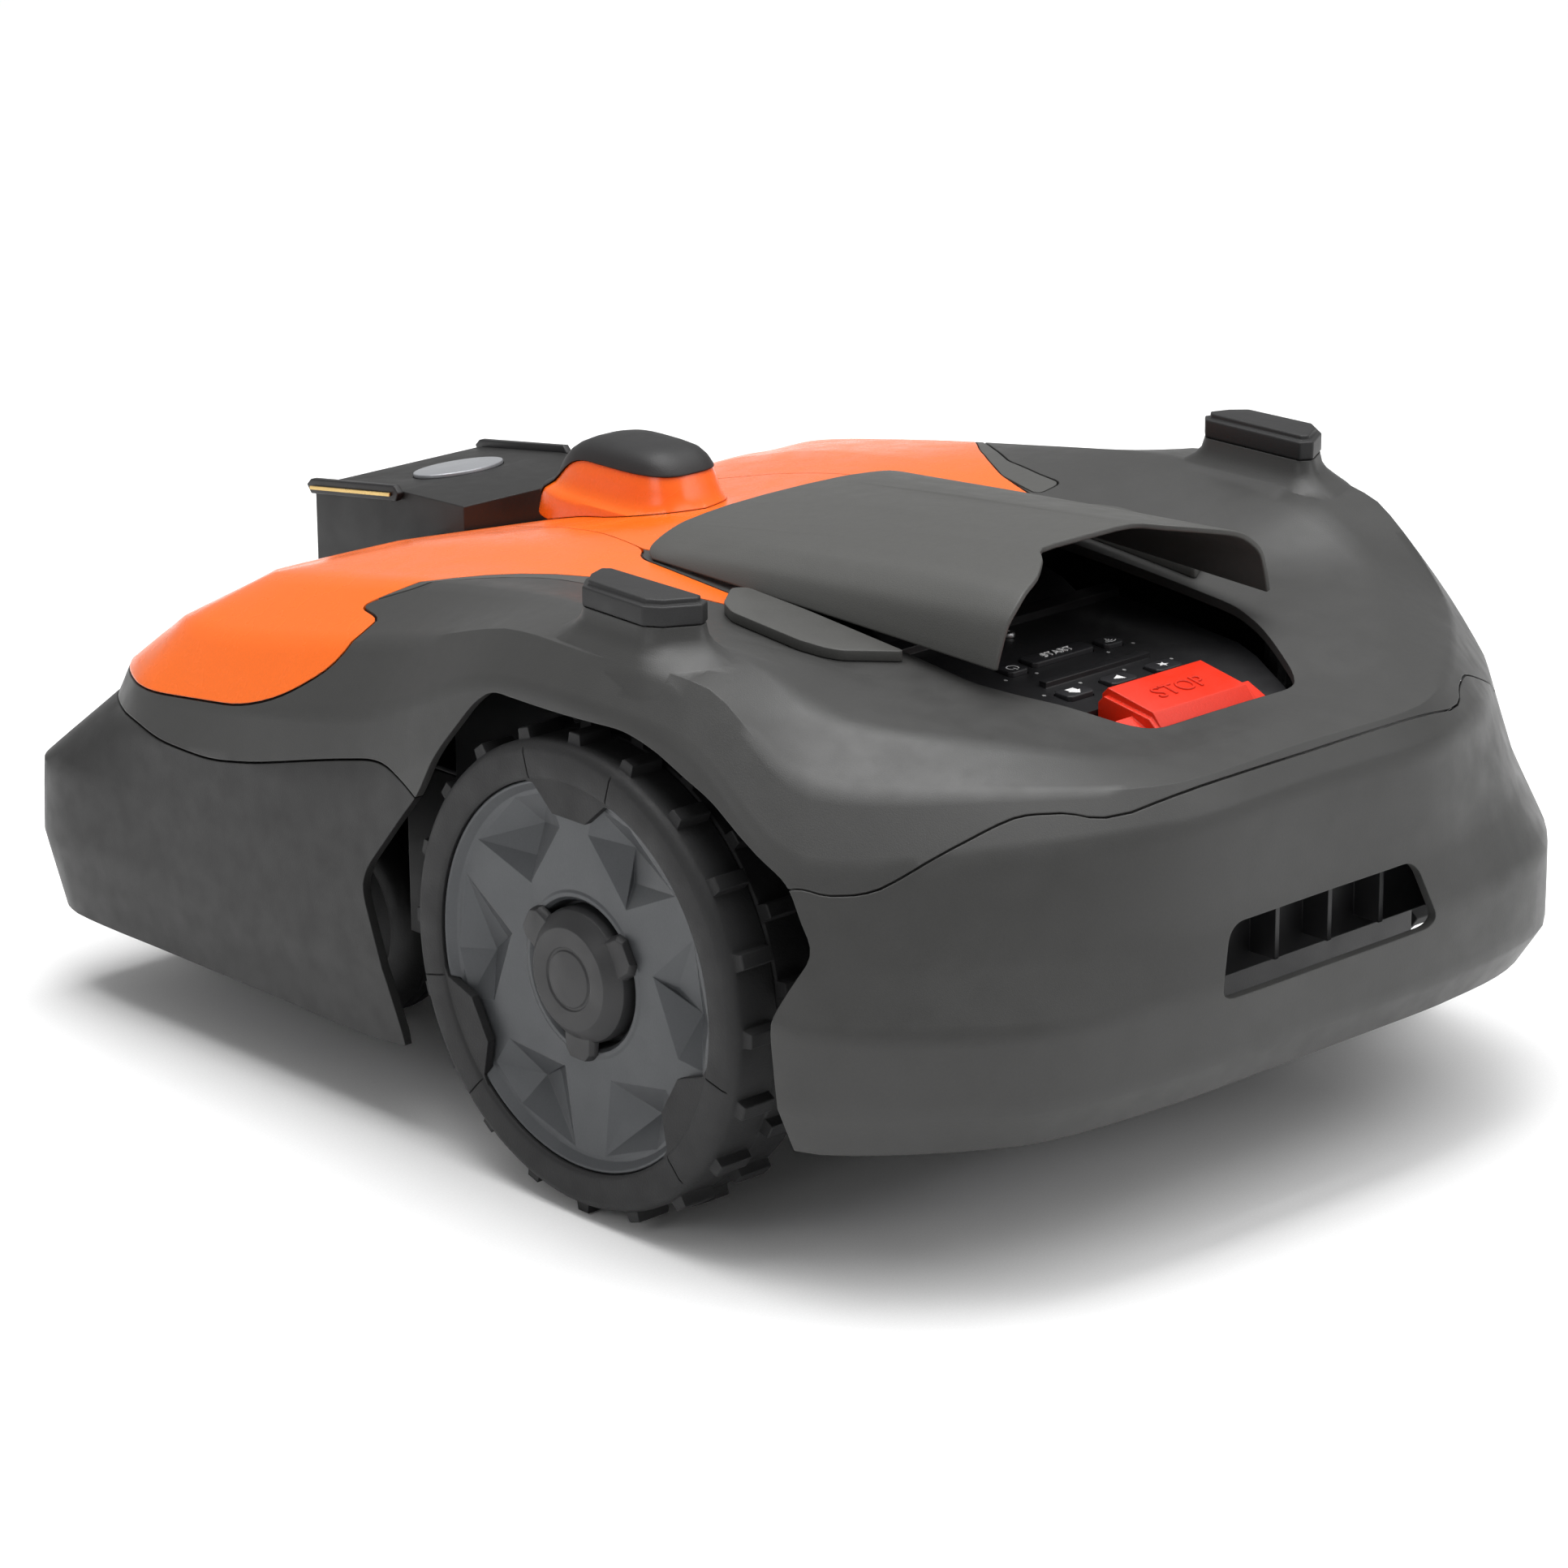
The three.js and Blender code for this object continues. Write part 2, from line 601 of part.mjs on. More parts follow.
function domeSolid(extra) {
  const count = 20;
  const positions = [];
  const indices = [];
  for (const [halfWidth, front, rear, z] of DOME_RINGS) {
    const middle = ((front + rear) / 2) * BODY_LENGTH_SCALE;
    const halfLength = ((rear - front) / 2) * BODY_LENGTH_SCALE + extra;
    for (let i = 0; i < count; i += 1) {
      const angle = (2 * Math.PI * i) / count;
      const round = (v) => Math.sign(v) * Math.abs(v) ** 0.65;
      positions.push(
        round(Math.cos(angle)) * (halfWidth * BODY_WIDTH_SCALE + extra),
        middle + round(Math.sin(angle)) * halfLength,
        z + extra,
      );
    }
  }
  const top = (DOME_RINGS.length - 1) * count;
  for (let i = 0; i < count; i += 1) {
    const next = (i + 1) % count;
    for (let level = 0; level < top; level += count) {
      indices.push(level + i, level + next, level + next + count);
      indices.push(level + i, level + next + count, level + i + count);
    }
    if (i > 0 && i < count - 1) {
      indices.push(0, i + 1, i);
      indices.push(top, top + i, top + i + 1);
    }
  }
  return solidFrom(positions, indices);
}

// Side outline (y, z) of the black cap over the dome's front and top.
const CAP_ZONE = [
  [-240, 275], [-209, 275], [-203, 284], [-184, 300], [-172, 303.5], [-100, 303.5],
  [-100, 330], [-240, 330],
].map(([y, z]) => [y * BODY_LENGTH_SCALE, z]);

function makeDome() {
  const zone = prismX(CAP_ZONE, -60, 60);
  const clearZone = prismX(grown(CAP_ZONE, GAP), -61, 61);
  addPiece("receiver_dome", largest(domeSolid(0).subtract(bodySolid(-GAP)).subtract(clearZone)), ORANGE);
  addPiece("receiver_dome_cap", largest(domeSolid(0.8).subtract(bodySolid(-GAP)).intersect(zone)), BLACK);
}

// ---------------------------------------------------------------- hatch
// Cross-sections of the hatch's outer face from the middle to the lower edge, at two places.
const HATCH_FRONT = [[0, 309], [48, 308], [84, 304], [101, 299], [108, 293]];
const HATCH_REAR = [[0, 330], [46, 329], [80, 324], [97, 311], [104, 286]];
const HATCH_FRONT_Y = [-32, -32, -31, -31, -22];
const HATCH_REAR_Y = [200, 212, 232, 236, 235];

function makeHatch() {
  const across = [];
  for (let k = HATCH_FRONT.length - 1; k >= 0; k -= 1) across.push([k, -1]);
  for (let k = 1; k < HATCH_FRONT.length; k += 1) across.push([k, 1]);
  const steps = 5;
  const positions = [];
  for (const drop of [0, HATCH_THICKNESS]) {
    for (let s = 0; s <= steps; s += 1) {
      const t = s / steps;
      for (const [k, sign] of across) {
        const x = HATCH_FRONT[k][0] + (HATCH_REAR[k][0] - HATCH_FRONT[k][0]) * t;
        const y = HATCH_FRONT_Y[k] + (HATCH_REAR_Y[k] - HATCH_FRONT_Y[k]) * t;
        const z = HATCH_FRONT[k][1] + (HATCH_REAR[k][1] - HATCH_FRONT[k][1]) * t;
        const inward = k === 4 ? drop : k === 3 ? drop * 0.8 : 0;
        const down = k === 4 ? 0 : drop;
        positions.push(
          sign * (x - inward) * BODY_WIDTH_SCALE,
          y * BODY_LENGTH_SCALE,
          z - down,
        );
      }
    }
  }
  const width = across.length;
  const layer = width * (steps + 1);
  const indices = [];
  const quad = (a, b, c, d) => indices.push(a, b, c, a, c, d);
  for (let s = 0; s < steps; s += 1) {
    for (let i = 0; i < width - 1; i += 1) {
      const a = s * width + i;
      quad(a, a + 1, a + 1 + width, a + width);
      const b = a + layer;
      quad(b, b + width, b + 1 + width, b + 1);
    }
    const left = s * width;
    quad(left, left + width, left + width + layer, left + layer);
    const right = s * width + width - 1;
    quad(right, right + layer, right + width + layer, right + width);
  }
  for (let i = 0; i < width - 1; i += 1) {
    quad(i, i + layer, i + 1 + layer, i + 1);
    const a = steps * width + i;
    quad(a, a + 1, a + 1 + layer, a + layer);
  }
  addPiece("hatch", solidFrom(positions, indices), LIGHT_GREY);
  const pin = rod("x", [0, HINGE_Y, HINGE_Z], 2.2, -78 * BODY_WIDTH_SCALE, 78 * BODY_WIDTH_SCALE, 12);
  addPiece("hatch_hinge_pin", pin, STEEL);
}

// ---------------------------------------------------------------- control console
const CONSOLE_TILT = -0.0875; // the keypad falls towards the rear
const plateHeight = (y) => 258.5 + (y - 182) * CONSOLE_TILT;
const CONSOLE_SHIFT = (BODY_LENGTH_SCALE - 1) * 240; // keeps the console under its opening
const CONSOLE_REAR = 296;
const STOP = { x: 38, front: 245, rear: 287, seat: 238, lobe: 12 };

// Each key: name, middle x, middle y, width, depth.
const KEYS = [
  ["power", 36, 181, 14, 12],
  ["start", 0, 178, 46, 13],
  ["wireless", -36, 181, 14, 12],
  ["home", 33, 223, 19, 13],
  ["play", 0, 223, 19, 13],
  ["star", -34, 223, 19, 13],
];

function keySolid([, x, y, width, depth], extra, low, high) {
  const halfX = width / 2 + extra;
  const halfY = depth / 2 + extra;
  const corner = 2;
  return prismZ(
    [
      [x - halfX + corner, y - halfY], [x + halfX - corner, y - halfY], [x + halfX, y - halfY + corner],
      [x + halfX, y + halfY - corner], [x + halfX - corner, y + halfY], [x - halfX + corner, y + halfY],
      [x - halfX, y + halfY - corner], [x - halfX, y - halfY + corner],
    ],
    low,
    high,
  ).translate([0, CONSOLE_SHIFT, 0]);
}

function makeConsole() {
  const lift = CONSOLE_SHIFT;
  const top = prismX(
    [
      [124, LID_Z + 3.6], [CONSOLE_REAR, LID_Z + 3.6], [CONSOLE_REAR, plateHeight(CONSOLE_REAR)],
      [132, plateHeight(132)], [132, 267], [124, 269],
    ].map(([y, z]) => [y + lift, z]),
    -96 * BODY_WIDTH_SCALE,
    96 * BODY_WIDTH_SCALE,
  );
  const inside = prismZ(grown(CONSOLE_OPENING, -1.2), 0, 400);
  let housing = top.intersect(inside);
  housing = housing.subtract(
    prismX(
      [
        [130, LID_Z], [CONSOLE_REAR - 5, LID_Z], [CONSOLE_REAR - 5, 230], [130, 230],
      ].map(([y, z]) => [y + lift, z]),
      -50,
      50,
    ),
  );
  for (const key of KEYS) {
    const seat = plateHeight(key[2]) - 4;
    housing = housing.subtract(keySolid(key, GAP, seat, 300));
    const cap = keySolid(key, 0, seat + KEY_TRAVEL + GAP, plateHeight(key[2]) + KEY_LIFT);
    addPiece("key_" + key[0], cap, BLACK);
  }
  const stopSeat = box([-STOP.x - STOP.lobe - GAP, STOP.front - GAP + lift, STOP.seat], [
    STOP.x + STOP.lobe + GAP, STOP.rear + GAP + lift, 300,
  ]);
  housing = housing.subtract(stopSeat);
  const ridge = box([-39, 203.5 + lift, plateHeight(206) - 2], [39, 208.5 + lift, plateHeight(206) + 3]);
  addPiece("control_console", largest(housing.add(ridge)), BLACK);
  const crown = prismX(
    [
      [STOP.front, STOP.seat + STOP_TRAVEL + GAP], [STOP.rear, STOP.seat + STOP_TRAVEL + GAP],
      [STOP.rear, 252], [STOP.rear - 6, 259], [STOP.front + 4, 265], [STOP.front, 261],
    ].map(([y, z]) => [y + lift, z]),
    -STOP.x + 3,
    STOP.x - 3,
  );
  const flank = prismX(
    [
      [STOP.front, STOP.seat + STOP_TRAVEL + GAP], [STOP.rear, STOP.seat + STOP_TRAVEL + GAP],
      [STOP.rear, 251], [STOP.rear - 6, 256], [STOP.front + 4, 261], [STOP.front, 257],
    ].map(([y, z]) => [y + lift, z]),
    -STOP.x,
    STOP.x,
  );
  const lobes = prismX(
    [
      [STOP.front + 14, STOP.seat + STOP_TRAVEL + GAP], [STOP.rear - 4, STOP.seat + STOP_TRAVEL + GAP],
      [STOP.rear - 4, 249], [STOP.front + 24, 255],
    ].map(([y, z]) => [y + lift, z]),
    -STOP.x - STOP.lobe,
    STOP.x + STOP.lobe,
  );
  addPiece("stop_button", union(crown, flank, lobes), RED);
  const display = prismX(
    [[62, LID_Z + 3.6], [123.5, LID_Z + 3.6], [123.5, 268], [112, 274], [68, 285], [62, 284]].map(
      ([y, z]) => [y + lift, z],
    ),
    -72 * BODY_WIDTH_SCALE,
    72 * BODY_WIDTH_SCALE,
  );
  const glass = prismX(
    [[72, 283], [110, 274], [110.6, 276], [72.6, 285.6]].map(([y, z]) => [y + lift, z]),
    -38,
    38,
  );
  addPiece("display_unit", display.add(glass), BLACK);
}

// ---------------------------------------------------------------- chassis
const GEARBOX_RADIUS = 34;
const CASTER_SWING_GAP = 13; // between the swinging caster wheel and the tub
const TUB = {
  x: 196,
  front: CASTER_PIVOT_Y + CASTER_TRAIL + CASTER_RADIUS + CASTER_SWING_GAP,
  rear: 262 * BODY_LENGTH_SCALE,
  top: AXLE_Z + GEARBOX_RADIUS + 9,
};
const LID_Z = TUB.top + GAP;
const STEM_RADIUS = 9;
const MOTOR_HOLE_RADIUS = 46;
const ADJUSTER_X = 58; // column that guides the cutting height
const ADJUSTER_RADIUS = 8;
const BELLOWS_HEIGHT = 36.2;

function makeChassis() {
  const width = TUB.x * BODY_WIDTH_SCALE;
  const front = TUB.front;
  const rear = TUB.rear;
  let tub = box([-width, front, TUB_FLOOR_Z], [width, rear, TUB.top]).subtract(
    box(
      [-width + TUB_WALL, front + TUB_WALL, TUB_FLOOR_Z + TUB_WALL],
      [width - TUB_WALL, rear - TUB_WALL, TUB.top + TUB_WALL],
    ),
  );
  const beamFront = CASTER_PIVOT_Y - BEAM_HALF;
  const beamRear = CASTER_PIVOT_Y + BEAM_HALF;
  tub = tub.add(box([-CASTER_X - 22, beamFront, BEAM.bottom], [CASTER_X + 22, beamRear, BEAM.top]));
  for (const [, sign] of sides) {
    tub = tub.add(onSide(box([30, beamRear - 5, BEAM.bottom], [66, front + 2, BEAM.top]), sign));
    tub = tub.subtract(rod("z", [sign * CASTER_X, CASTER_PIVOT_Y, 0], STEM_RADIUS + GAP, 100, 200));
    const axleHole = rod("x", [0, AXLE_Y, AXLE_Z], AXLE_RADIUS + GAP, width - 2 * TUB_WALL, width + TUB_WALL);
    tub = tub.subtract(onSide(axleHole, sign));
  }
  tub = tub.subtract(rod("z", [0, DISC_Y, 0], 22, 60, 100));
  tub = tub.add(rod("z", [ADJUSTER_X, DISC_Y, 0], ADJUSTER_RADIUS, TUB_FLOOR_Z + 1, TUB.top - 8, 16));
  addPiece("chassis_tub", tub, BLACK);
  const lid = box([-width, front, LID_Z], [width, rear, LID_Z + 3]).subtract(
    rod("z", [0, DISC_Y, 0], MOTOR_HOLE_RADIUS, LID_Z - 5, LID_Z + 10),
  );
  addPiece("chassis_lid", lid, BLACK);
  const underCover = move(INSIDE, 0, 0, -GAP);
  const postFoot = LID_Z + 3 + GAP;
  for (const [place, y] of [["front", front + 20], ["rear", rear - 40]]) {
    const foot = [128 * BODY_WIDTH_SCALE, y, 0];
    const bellows = rod("z", foot, 14, postFoot, postFoot + BELLOWS_HEIGHT, 12);
    const post = rod("z", foot, 9, postFoot, 340, 12).intersect(underCover).add(bellows);
    for (const [side, sign] of sides) addPiece("cover_post_" + place + "_" + side, onSide(post, sign), BLACK);
  }
}

function makeInternals() {
  const floor = TUB_FLOOR_Z + TUB_WALL + GAP;
  const battery = box([-80, 24 * BODY_LENGTH_SCALE, floor], [80, 176 * BODY_LENGTH_SCALE, 150]);
  addPiece("battery_pack", battery, BLACK);
  addPiece(
    "control_board_box",
    box([-150, 186 * BODY_LENGTH_SCALE, floor], [150, 186 * BODY_LENGTH_SCALE + 58, 128]),
    GREEN,
  );
  for (const [side, sign] of sides) {
    const inner = TUB.x * BODY_WIDTH_SCALE - TUB_WALL - GAP;
    const motor = rod("x", [0, AXLE_Y, AXLE_Z], 27, inner - 96, inner - 40);
    const gearbox = rod("x", [0, AXLE_Y, AXLE_Z], GEARBOX_RADIUS, inner - 41, inner);
    const bore = rod("x", [0, AXLE_Y, AXLE_Z], AXLE_RADIUS + GAP, inner - 24, inner + 5);
    addPiece("drive_motor_" + side, onSide(motor.add(gearbox).subtract(bore), sign), STEEL);
  }
}

// ---------------------------------------------------------------- cutting unit
function makeCuttingUnit() {
  const at = [0, DISC_Y, 0];
  const discTop = DISC_Z + 5;
  const motor = rod("z", at, 38, 102, 168)
    .add(rod("z", at, 16, discTop + GAP + 3, 103))
    .add(box([20, DISC_Y - 14, 104], [ADJUSTER_X + 16, DISC_Y + 14, 118]));
  const guide = rod("z", [ADJUSTER_X, DISC_Y, 0], ADJUSTER_RADIUS + GAP, 90, 180, 16);
  addPiece("cutting_motor", motor.subtract(guide), STEEL);
  const spindle = 4.5;
  const bladePivot = [DISC_RADIUS - 15, DISC_Y, 0];
  const screw = rod("z", bladePivot, 6, 38.5, 41, 12).add(rod("z", bladePivot, 3, 40, DISC_Z + 1, 12));
  const outline = [[-7, -8], [30, -9], [34, -6], [34, 6], [30, 9], [-7, 8]];
  const blade = prismZ(
    outline.map(([x, y]) => [x + bladePivot[0], y + bladePivot[1]]),
    41.5,
    43.5,
  ).subtract(rod("z", bladePivot, 3.4, 30, 60, 12));
  let disc = rod("z", at, DISC_RADIUS, DISC_Z, discTop, 28)
    .add(rod("z", at, 14, discTop - 1, discTop + 3))
    .add(rod("z", at, spindle, 30, DISC_Z + 1, 16));
  for (let i = 0; i < BLADE_COUNT; i += 1) {
    const angle = (i * 360) / BLADE_COUNT + 90;
    const turn = (solid) => solid.translate([0, -DISC_Y, 0]).rotate([0, 0, angle]).translate([0, DISC_Y, 0]);
    disc = disc.add(turn(screw));
    addPiece("blade_" + (i + 1), turn(blade), STEEL);
  }
  addPiece("cutting_disc", disc, BLACK);
  const skid = rod("z", at, 76, 33, 36, 28).subtract(rod("z", at, spindle + GAP, 20, 60, 16));
  addPiece("skid_plate", skid, BLACK);
}

// ---------------------------------------------------------------- drive wheels
const WHEEL_SEGMENTS = 40;
const RIM_RADIUS = WHEEL_RADIUS - 21;
const TAB_INNER_RADIUS = RIM_RADIUS - 18;
const TAB_DEPTH = 5;

// A closed ring or disc about the wheel's axle from a profile of [radius, x].
function turned(profile, segments) {
  const geometry = new THREE.LatheGeometry(
    profile.map(([r, x]) => new THREE.Vector2(r, x)),
    segments,
  );
  geometry.rotateZ(-Math.PI / 2);
  geometry.translate(0, AXLE_Y, AXLE_Z);
  return solidOf(geometry);
}

const aboutAxle = (solid, degrees) =>
  solid.translate([0, -AXLE_Y, -AXLE_Z]).rotate([degrees, 0, 0]).translate([0, AXLE_Y, AXLE_Z]);

// Tab of the tyre ring that reaches inwards between the spokes.
function tab(extra) {
  const outline = [
    [-34, RIM_RADIUS - 5], [-27.5 - extra, RIM_RADIUS - 5], [-12.5 - extra, TAB_INNER_RADIUS - extra],
    [12.5 + extra, TAB_INNER_RADIUS - extra], [27.5 + extra, RIM_RADIUS - 5], [34, RIM_RADIUS - 5],
    [33, RIM_RADIUS + 8], [-33, RIM_RADIUS + 8],
  ].map(([across, r]) => [AXLE_Y + across, AXLE_Z + r]);
  return prismX(outline, WHEEL_FACE_X - TAB_DEPTH - 1 - extra * 2, WHEEL_FACE_X - 1.5 + extra * 20);
}

function makeDriveWheel(side, sign) {
  const face = WHEEL_FACE_X;
  const back = face - TYRE_WIDTH;
  let tyre = turned(
    [
      [RIM_RADIUS + GAP, back], [RIM_RADIUS + GAP, face - 1], [RIM_RADIUS + 4, face],
      [WHEEL_RADIUS - 5, face], [WHEEL_RADIUS, face - 5],
      [WHEEL_RADIUS, back + 5], [WHEEL_RADIUS - 5, back], [RIM_RADIUS + GAP, back],
    ],
    WHEEL_SEGMENTS,
  );
  for (let i = 0; i < LUG_COUNT; i += 1) {
    for (const [row, low] of [[0, face - 27], [0.5, back + 8]]) {
      const lug = box(
        [low, AXLE_Y - 4.5, AXLE_Z + WHEEL_RADIUS - 3],
        [low + 21, AXLE_Y + 4.5, AXLE_Z + WHEEL_RADIUS + LUG_HEIGHT],
      );
      tyre = tyre.add(aboutAxle(lug, ((i + row) * 360) / LUG_COUNT));
    }
  }
  let rim = turned(
    [
      [0, back + 20], [30, back + 20], [36, back + 34], [RIM_RADIUS - 12, back + 34],
      [RIM_RADIUS - 8, back + 2], [RIM_RADIUS, back + 2], [RIM_RADIUS, face - 3],
      [RIM_RADIUS - 6, face - 7], [52, face - 10], [44, face - 20], [0, face - 20],
    ],
    WHEEL_SEGMENTS,
  );
  for (let i = 0; i < 6; i += 1) {
    const pocket = prismX(
      [[-16, 54], [16, 54], [34, RIM_RADIUS - 14], [-34, RIM_RADIUS - 14]].map(
        ([across, r]) => [AXLE_Y + across * 0.82, AXLE_Z + r],
      ),
      face - 17,
      face + 5,
    );
    rim = rim.subtract(aboutAxle(pocket, i * 60 + 30));
  }
  for (let i = 0; i < 3; i += 1) {
    tyre = tyre.add(aboutAxle(tab(0), i * 120));
    rim = rim.subtract(aboutAxle(tab(GAP), i * 120));
  }
  rim = rim.subtract(rod("x", [0, AXLE_Y, AXLE_Z], AXLE_RADIUS + GAP, back, face - 30));
  addPiece("tyre_" + side, onSide(tyre, sign), BLACK);
  addPiece("rim_" + side, onSide(rim, sign), RIM_GREY);
  let cap = turned([[0, face - 19.6], [36, face - 19.6], [34, face - 4], [27, face + 1], [0, face + 1]], 36);
  for (let i = 0; i < 3; i += 1) {
    const lobe = prismX(
      [[-12, 20], [12, 20], [10, 42], [6, 45], [-6, 45], [-10, 42]].map(
        ([across, r]) => [AXLE_Y + across, AXLE_Z + r],
      ),
      face - 9.4,
      face - 4,
    );
    cap = cap.add(aboutAxle(lobe, i * 120 - 60));
  }
  addPiece("hub_cap_" + side, onSide(cap, sign), CHARCOAL);
  const axleEnd = TUB.x * BODY_WIDTH_SCALE - TUB_WALL - 22;
  const axle = rod("x", [0, AXLE_Y, AXLE_Z], AXLE_RADIUS, axleEnd, face - 30 - GAP);
  addPiece("drive_axle_" + side, onSide(axle, sign), STEEL);
}

// ---------------------------------------------------------------- front casters
function makeCaster(side, sign) {
  const axleY = CASTER_PIVOT_Y + CASTER_TRAIL;
  const halfWidth = CASTER_WIDTH / 2;
  const profile = [
    [0, -halfWidth + 5], [40, -halfWidth + 5], [44, -halfWidth], [CASTER_RADIUS - 5, -halfWidth],
    [CASTER_RADIUS, -halfWidth + 8], [CASTER_RADIUS, halfWidth - 8], [CASTER_RADIUS - 5, halfWidth],
    [44, halfWidth], [40, halfWidth - 5], [0, halfWidth - 5],
  ];
  const lathe = new THREE.LatheGeometry(profile.map(([r, x]) => new THREE.Vector2(r, x)), 28);
  lathe.rotateZ(-Math.PI / 2);
  lathe.translate(CASTER_X, axleY, CASTER_RADIUS);
  const axleRadius = 5;
  const bore = rod(
    "x", [0, axleY, CASTER_RADIUS], axleRadius + GAP, CASTER_X - CASTER_WIDTH, CASTER_X + CASTER_WIDTH, 16,
  );
  const wheel = solidOf(lathe).subtract(bore);
  addPiece("caster_wheel_" + side, onSide(wheel, sign), BLACK);
  const crownZ = 2 * CASTER_RADIUS + 4;
  let fork = box([CASTER_X - 27, CASTER_PIVOT_Y - 12, crownZ], [CASTER_X + 27, axleY + 6, crownZ + 8]);
  for (const offset of [-27, 21.5]) {
    const leg = prismX(
      [
        [CASTER_PIVOT_Y - 12, crownZ + 2], [axleY + 6, crownZ + 2], [axleY + 9, CASTER_RADIUS],
        [axleY, CASTER_RADIUS - 9], [axleY - 9, CASTER_RADIUS],
      ],
      CASTER_X + offset,
      CASTER_X + offset + 5.5,
    );
    fork = fork.add(leg);
  }
  fork = fork.add(rod("z", [CASTER_X, CASTER_PIVOT_Y, 0], STEM_RADIUS, crownZ + 7, BEAM.top + 8));
  fork = fork.add(rod("x", [0, axleY, CASTER_RADIUS], axleRadius, CASTER_X - 24, CASTER_X + 24, 16));
  addPiece("caster_fork_" + side, onSide(fork, sign), BLACK);
}

makeCover();
makeSkirts();
makeBumper();
makeOrangePanels();
makeStepTrims();
makePads();
makeNose();
makeDome();
makeHatch();
makeConsole();
makeChassis();
makeInternals();
makeCuttingUnit();
for (const [side, sign] of sides) {
  makeDriveWheel(side, sign);
  makeCaster(side, sign);
}

export default model;
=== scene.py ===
"""Robotic lawn mower: the looks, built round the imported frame.

Outlines, rings and sizes of pieces are millimetres. The stage's places are metres.
"""
import json
import math

import bmesh
import bpy
from mathutils import Matrix, Vector


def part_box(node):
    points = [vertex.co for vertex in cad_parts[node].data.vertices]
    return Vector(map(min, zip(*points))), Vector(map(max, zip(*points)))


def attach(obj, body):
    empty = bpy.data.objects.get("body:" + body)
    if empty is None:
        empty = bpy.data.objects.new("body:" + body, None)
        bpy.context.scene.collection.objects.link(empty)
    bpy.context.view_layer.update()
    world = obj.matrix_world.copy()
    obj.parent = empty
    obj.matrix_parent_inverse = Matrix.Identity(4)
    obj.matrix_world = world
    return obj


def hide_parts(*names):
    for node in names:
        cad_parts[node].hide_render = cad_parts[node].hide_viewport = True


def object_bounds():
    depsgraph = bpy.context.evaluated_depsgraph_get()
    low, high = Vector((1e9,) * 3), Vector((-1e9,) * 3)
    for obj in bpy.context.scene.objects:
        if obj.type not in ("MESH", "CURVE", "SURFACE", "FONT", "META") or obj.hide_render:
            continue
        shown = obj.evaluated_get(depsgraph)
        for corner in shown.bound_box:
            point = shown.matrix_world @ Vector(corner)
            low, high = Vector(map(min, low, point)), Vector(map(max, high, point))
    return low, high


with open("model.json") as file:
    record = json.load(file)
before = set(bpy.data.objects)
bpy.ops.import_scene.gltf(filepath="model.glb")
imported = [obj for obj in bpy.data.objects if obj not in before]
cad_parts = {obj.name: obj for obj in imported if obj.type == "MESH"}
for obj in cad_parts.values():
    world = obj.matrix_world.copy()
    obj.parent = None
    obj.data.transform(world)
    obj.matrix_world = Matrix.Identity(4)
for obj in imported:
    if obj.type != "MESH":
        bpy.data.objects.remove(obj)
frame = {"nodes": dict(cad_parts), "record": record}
CAD_BOX = [list(corner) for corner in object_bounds()]
MM = 0.001
SIDES = (("left", 1), ("right", -1))
SLOT_OF = {s["node"]: s["material_slot"] for s in frame["record"]["subparts"]}
BODY_OF = {n: b for b, members in frame["record"]["behaviour"]["bodies"].items() for n in members}

# ------------------------------------------------------------------ camera, lights, floor
AZIMUTH, ELEVATION, ROLL = 137.21, 18.45, -0.3552  # degrees
CAMERA_PLACE = (1.9645, 2.0878, 1.1014)
LENS, SENSOR_WIDTH = 124.45, 36  # millimetres
LAMPS = (  # name, place, target, width and height, watts
    ("softbox_top", (0.0, -0.25, 2.5), (0, 0, 0), (2.2, 2.0), 52),
    ("softbox_rear_right", (-1.6, 2.6, 1.5), (0, 0.2, 0.15), (1.5, 0.9), 13),
    ("softbox_left", (2.8, 0.2, 1.5), (0.1, 0, 0.15), (1.2, 0.8), 8),
)
SUN_STRENGTH, SUN_SPREAD, SUN_TILT = 2.0, 70, (-14, -12)  # spread and tilt in degrees
WORLD_STRENGTH = 0.4
FLOOR_HALF, FLOOR_DROP = 12, 0.0005


def make_camera():
    """The camera, behind the machine's left side and a little above it."""
    azimuth, elevation, roll = (math.radians(v) for v in (AZIMUTH, ELEVATION, ROLL))
    back = Vector((
        math.sin(azimuth) * math.cos(elevation),
        -math.cos(azimuth) * math.cos(elevation),
        math.sin(elevation),
    ))
    right = Vector((math.cos(azimuth), math.sin(azimuth), 0))
    up = back.cross(right)
    turned_right = right * math.cos(roll) + up * math.sin(roll)
    turned_up = up * math.cos(roll) - right * math.sin(roll)
    camera = bpy.data.objects.new("camera", bpy.data.cameras.new("camera"))
    bpy.context.collection.objects.link(camera)
    axes = Matrix((turned_right, turned_up, back)).transposed().to_4x4()
    camera.matrix_world = Matrix.Translation(CAMERA_PLACE) @ axes
    camera.data.sensor_width = SENSOR_WIDTH
    camera.data.lens = LENS
    camera.data.clip_end = 100
    bpy.context.scene.camera = camera


def make_lamp(name, place, target, size, power):
    """A soft rectangular lamp turned towards its target."""
    data = bpy.data.lights.new(name, "AREA")
    data.shape = "RECTANGLE"
    data.size, data.size_y = size
    data.energy = power
    item = bpy.data.objects.new(name, data)
    item.location = place
    item.rotation_euler = (Vector(target) - Vector(place)).to_track_quat("-Z", "Y").to_euler()
    bpy.context.collection.objects.link(item)


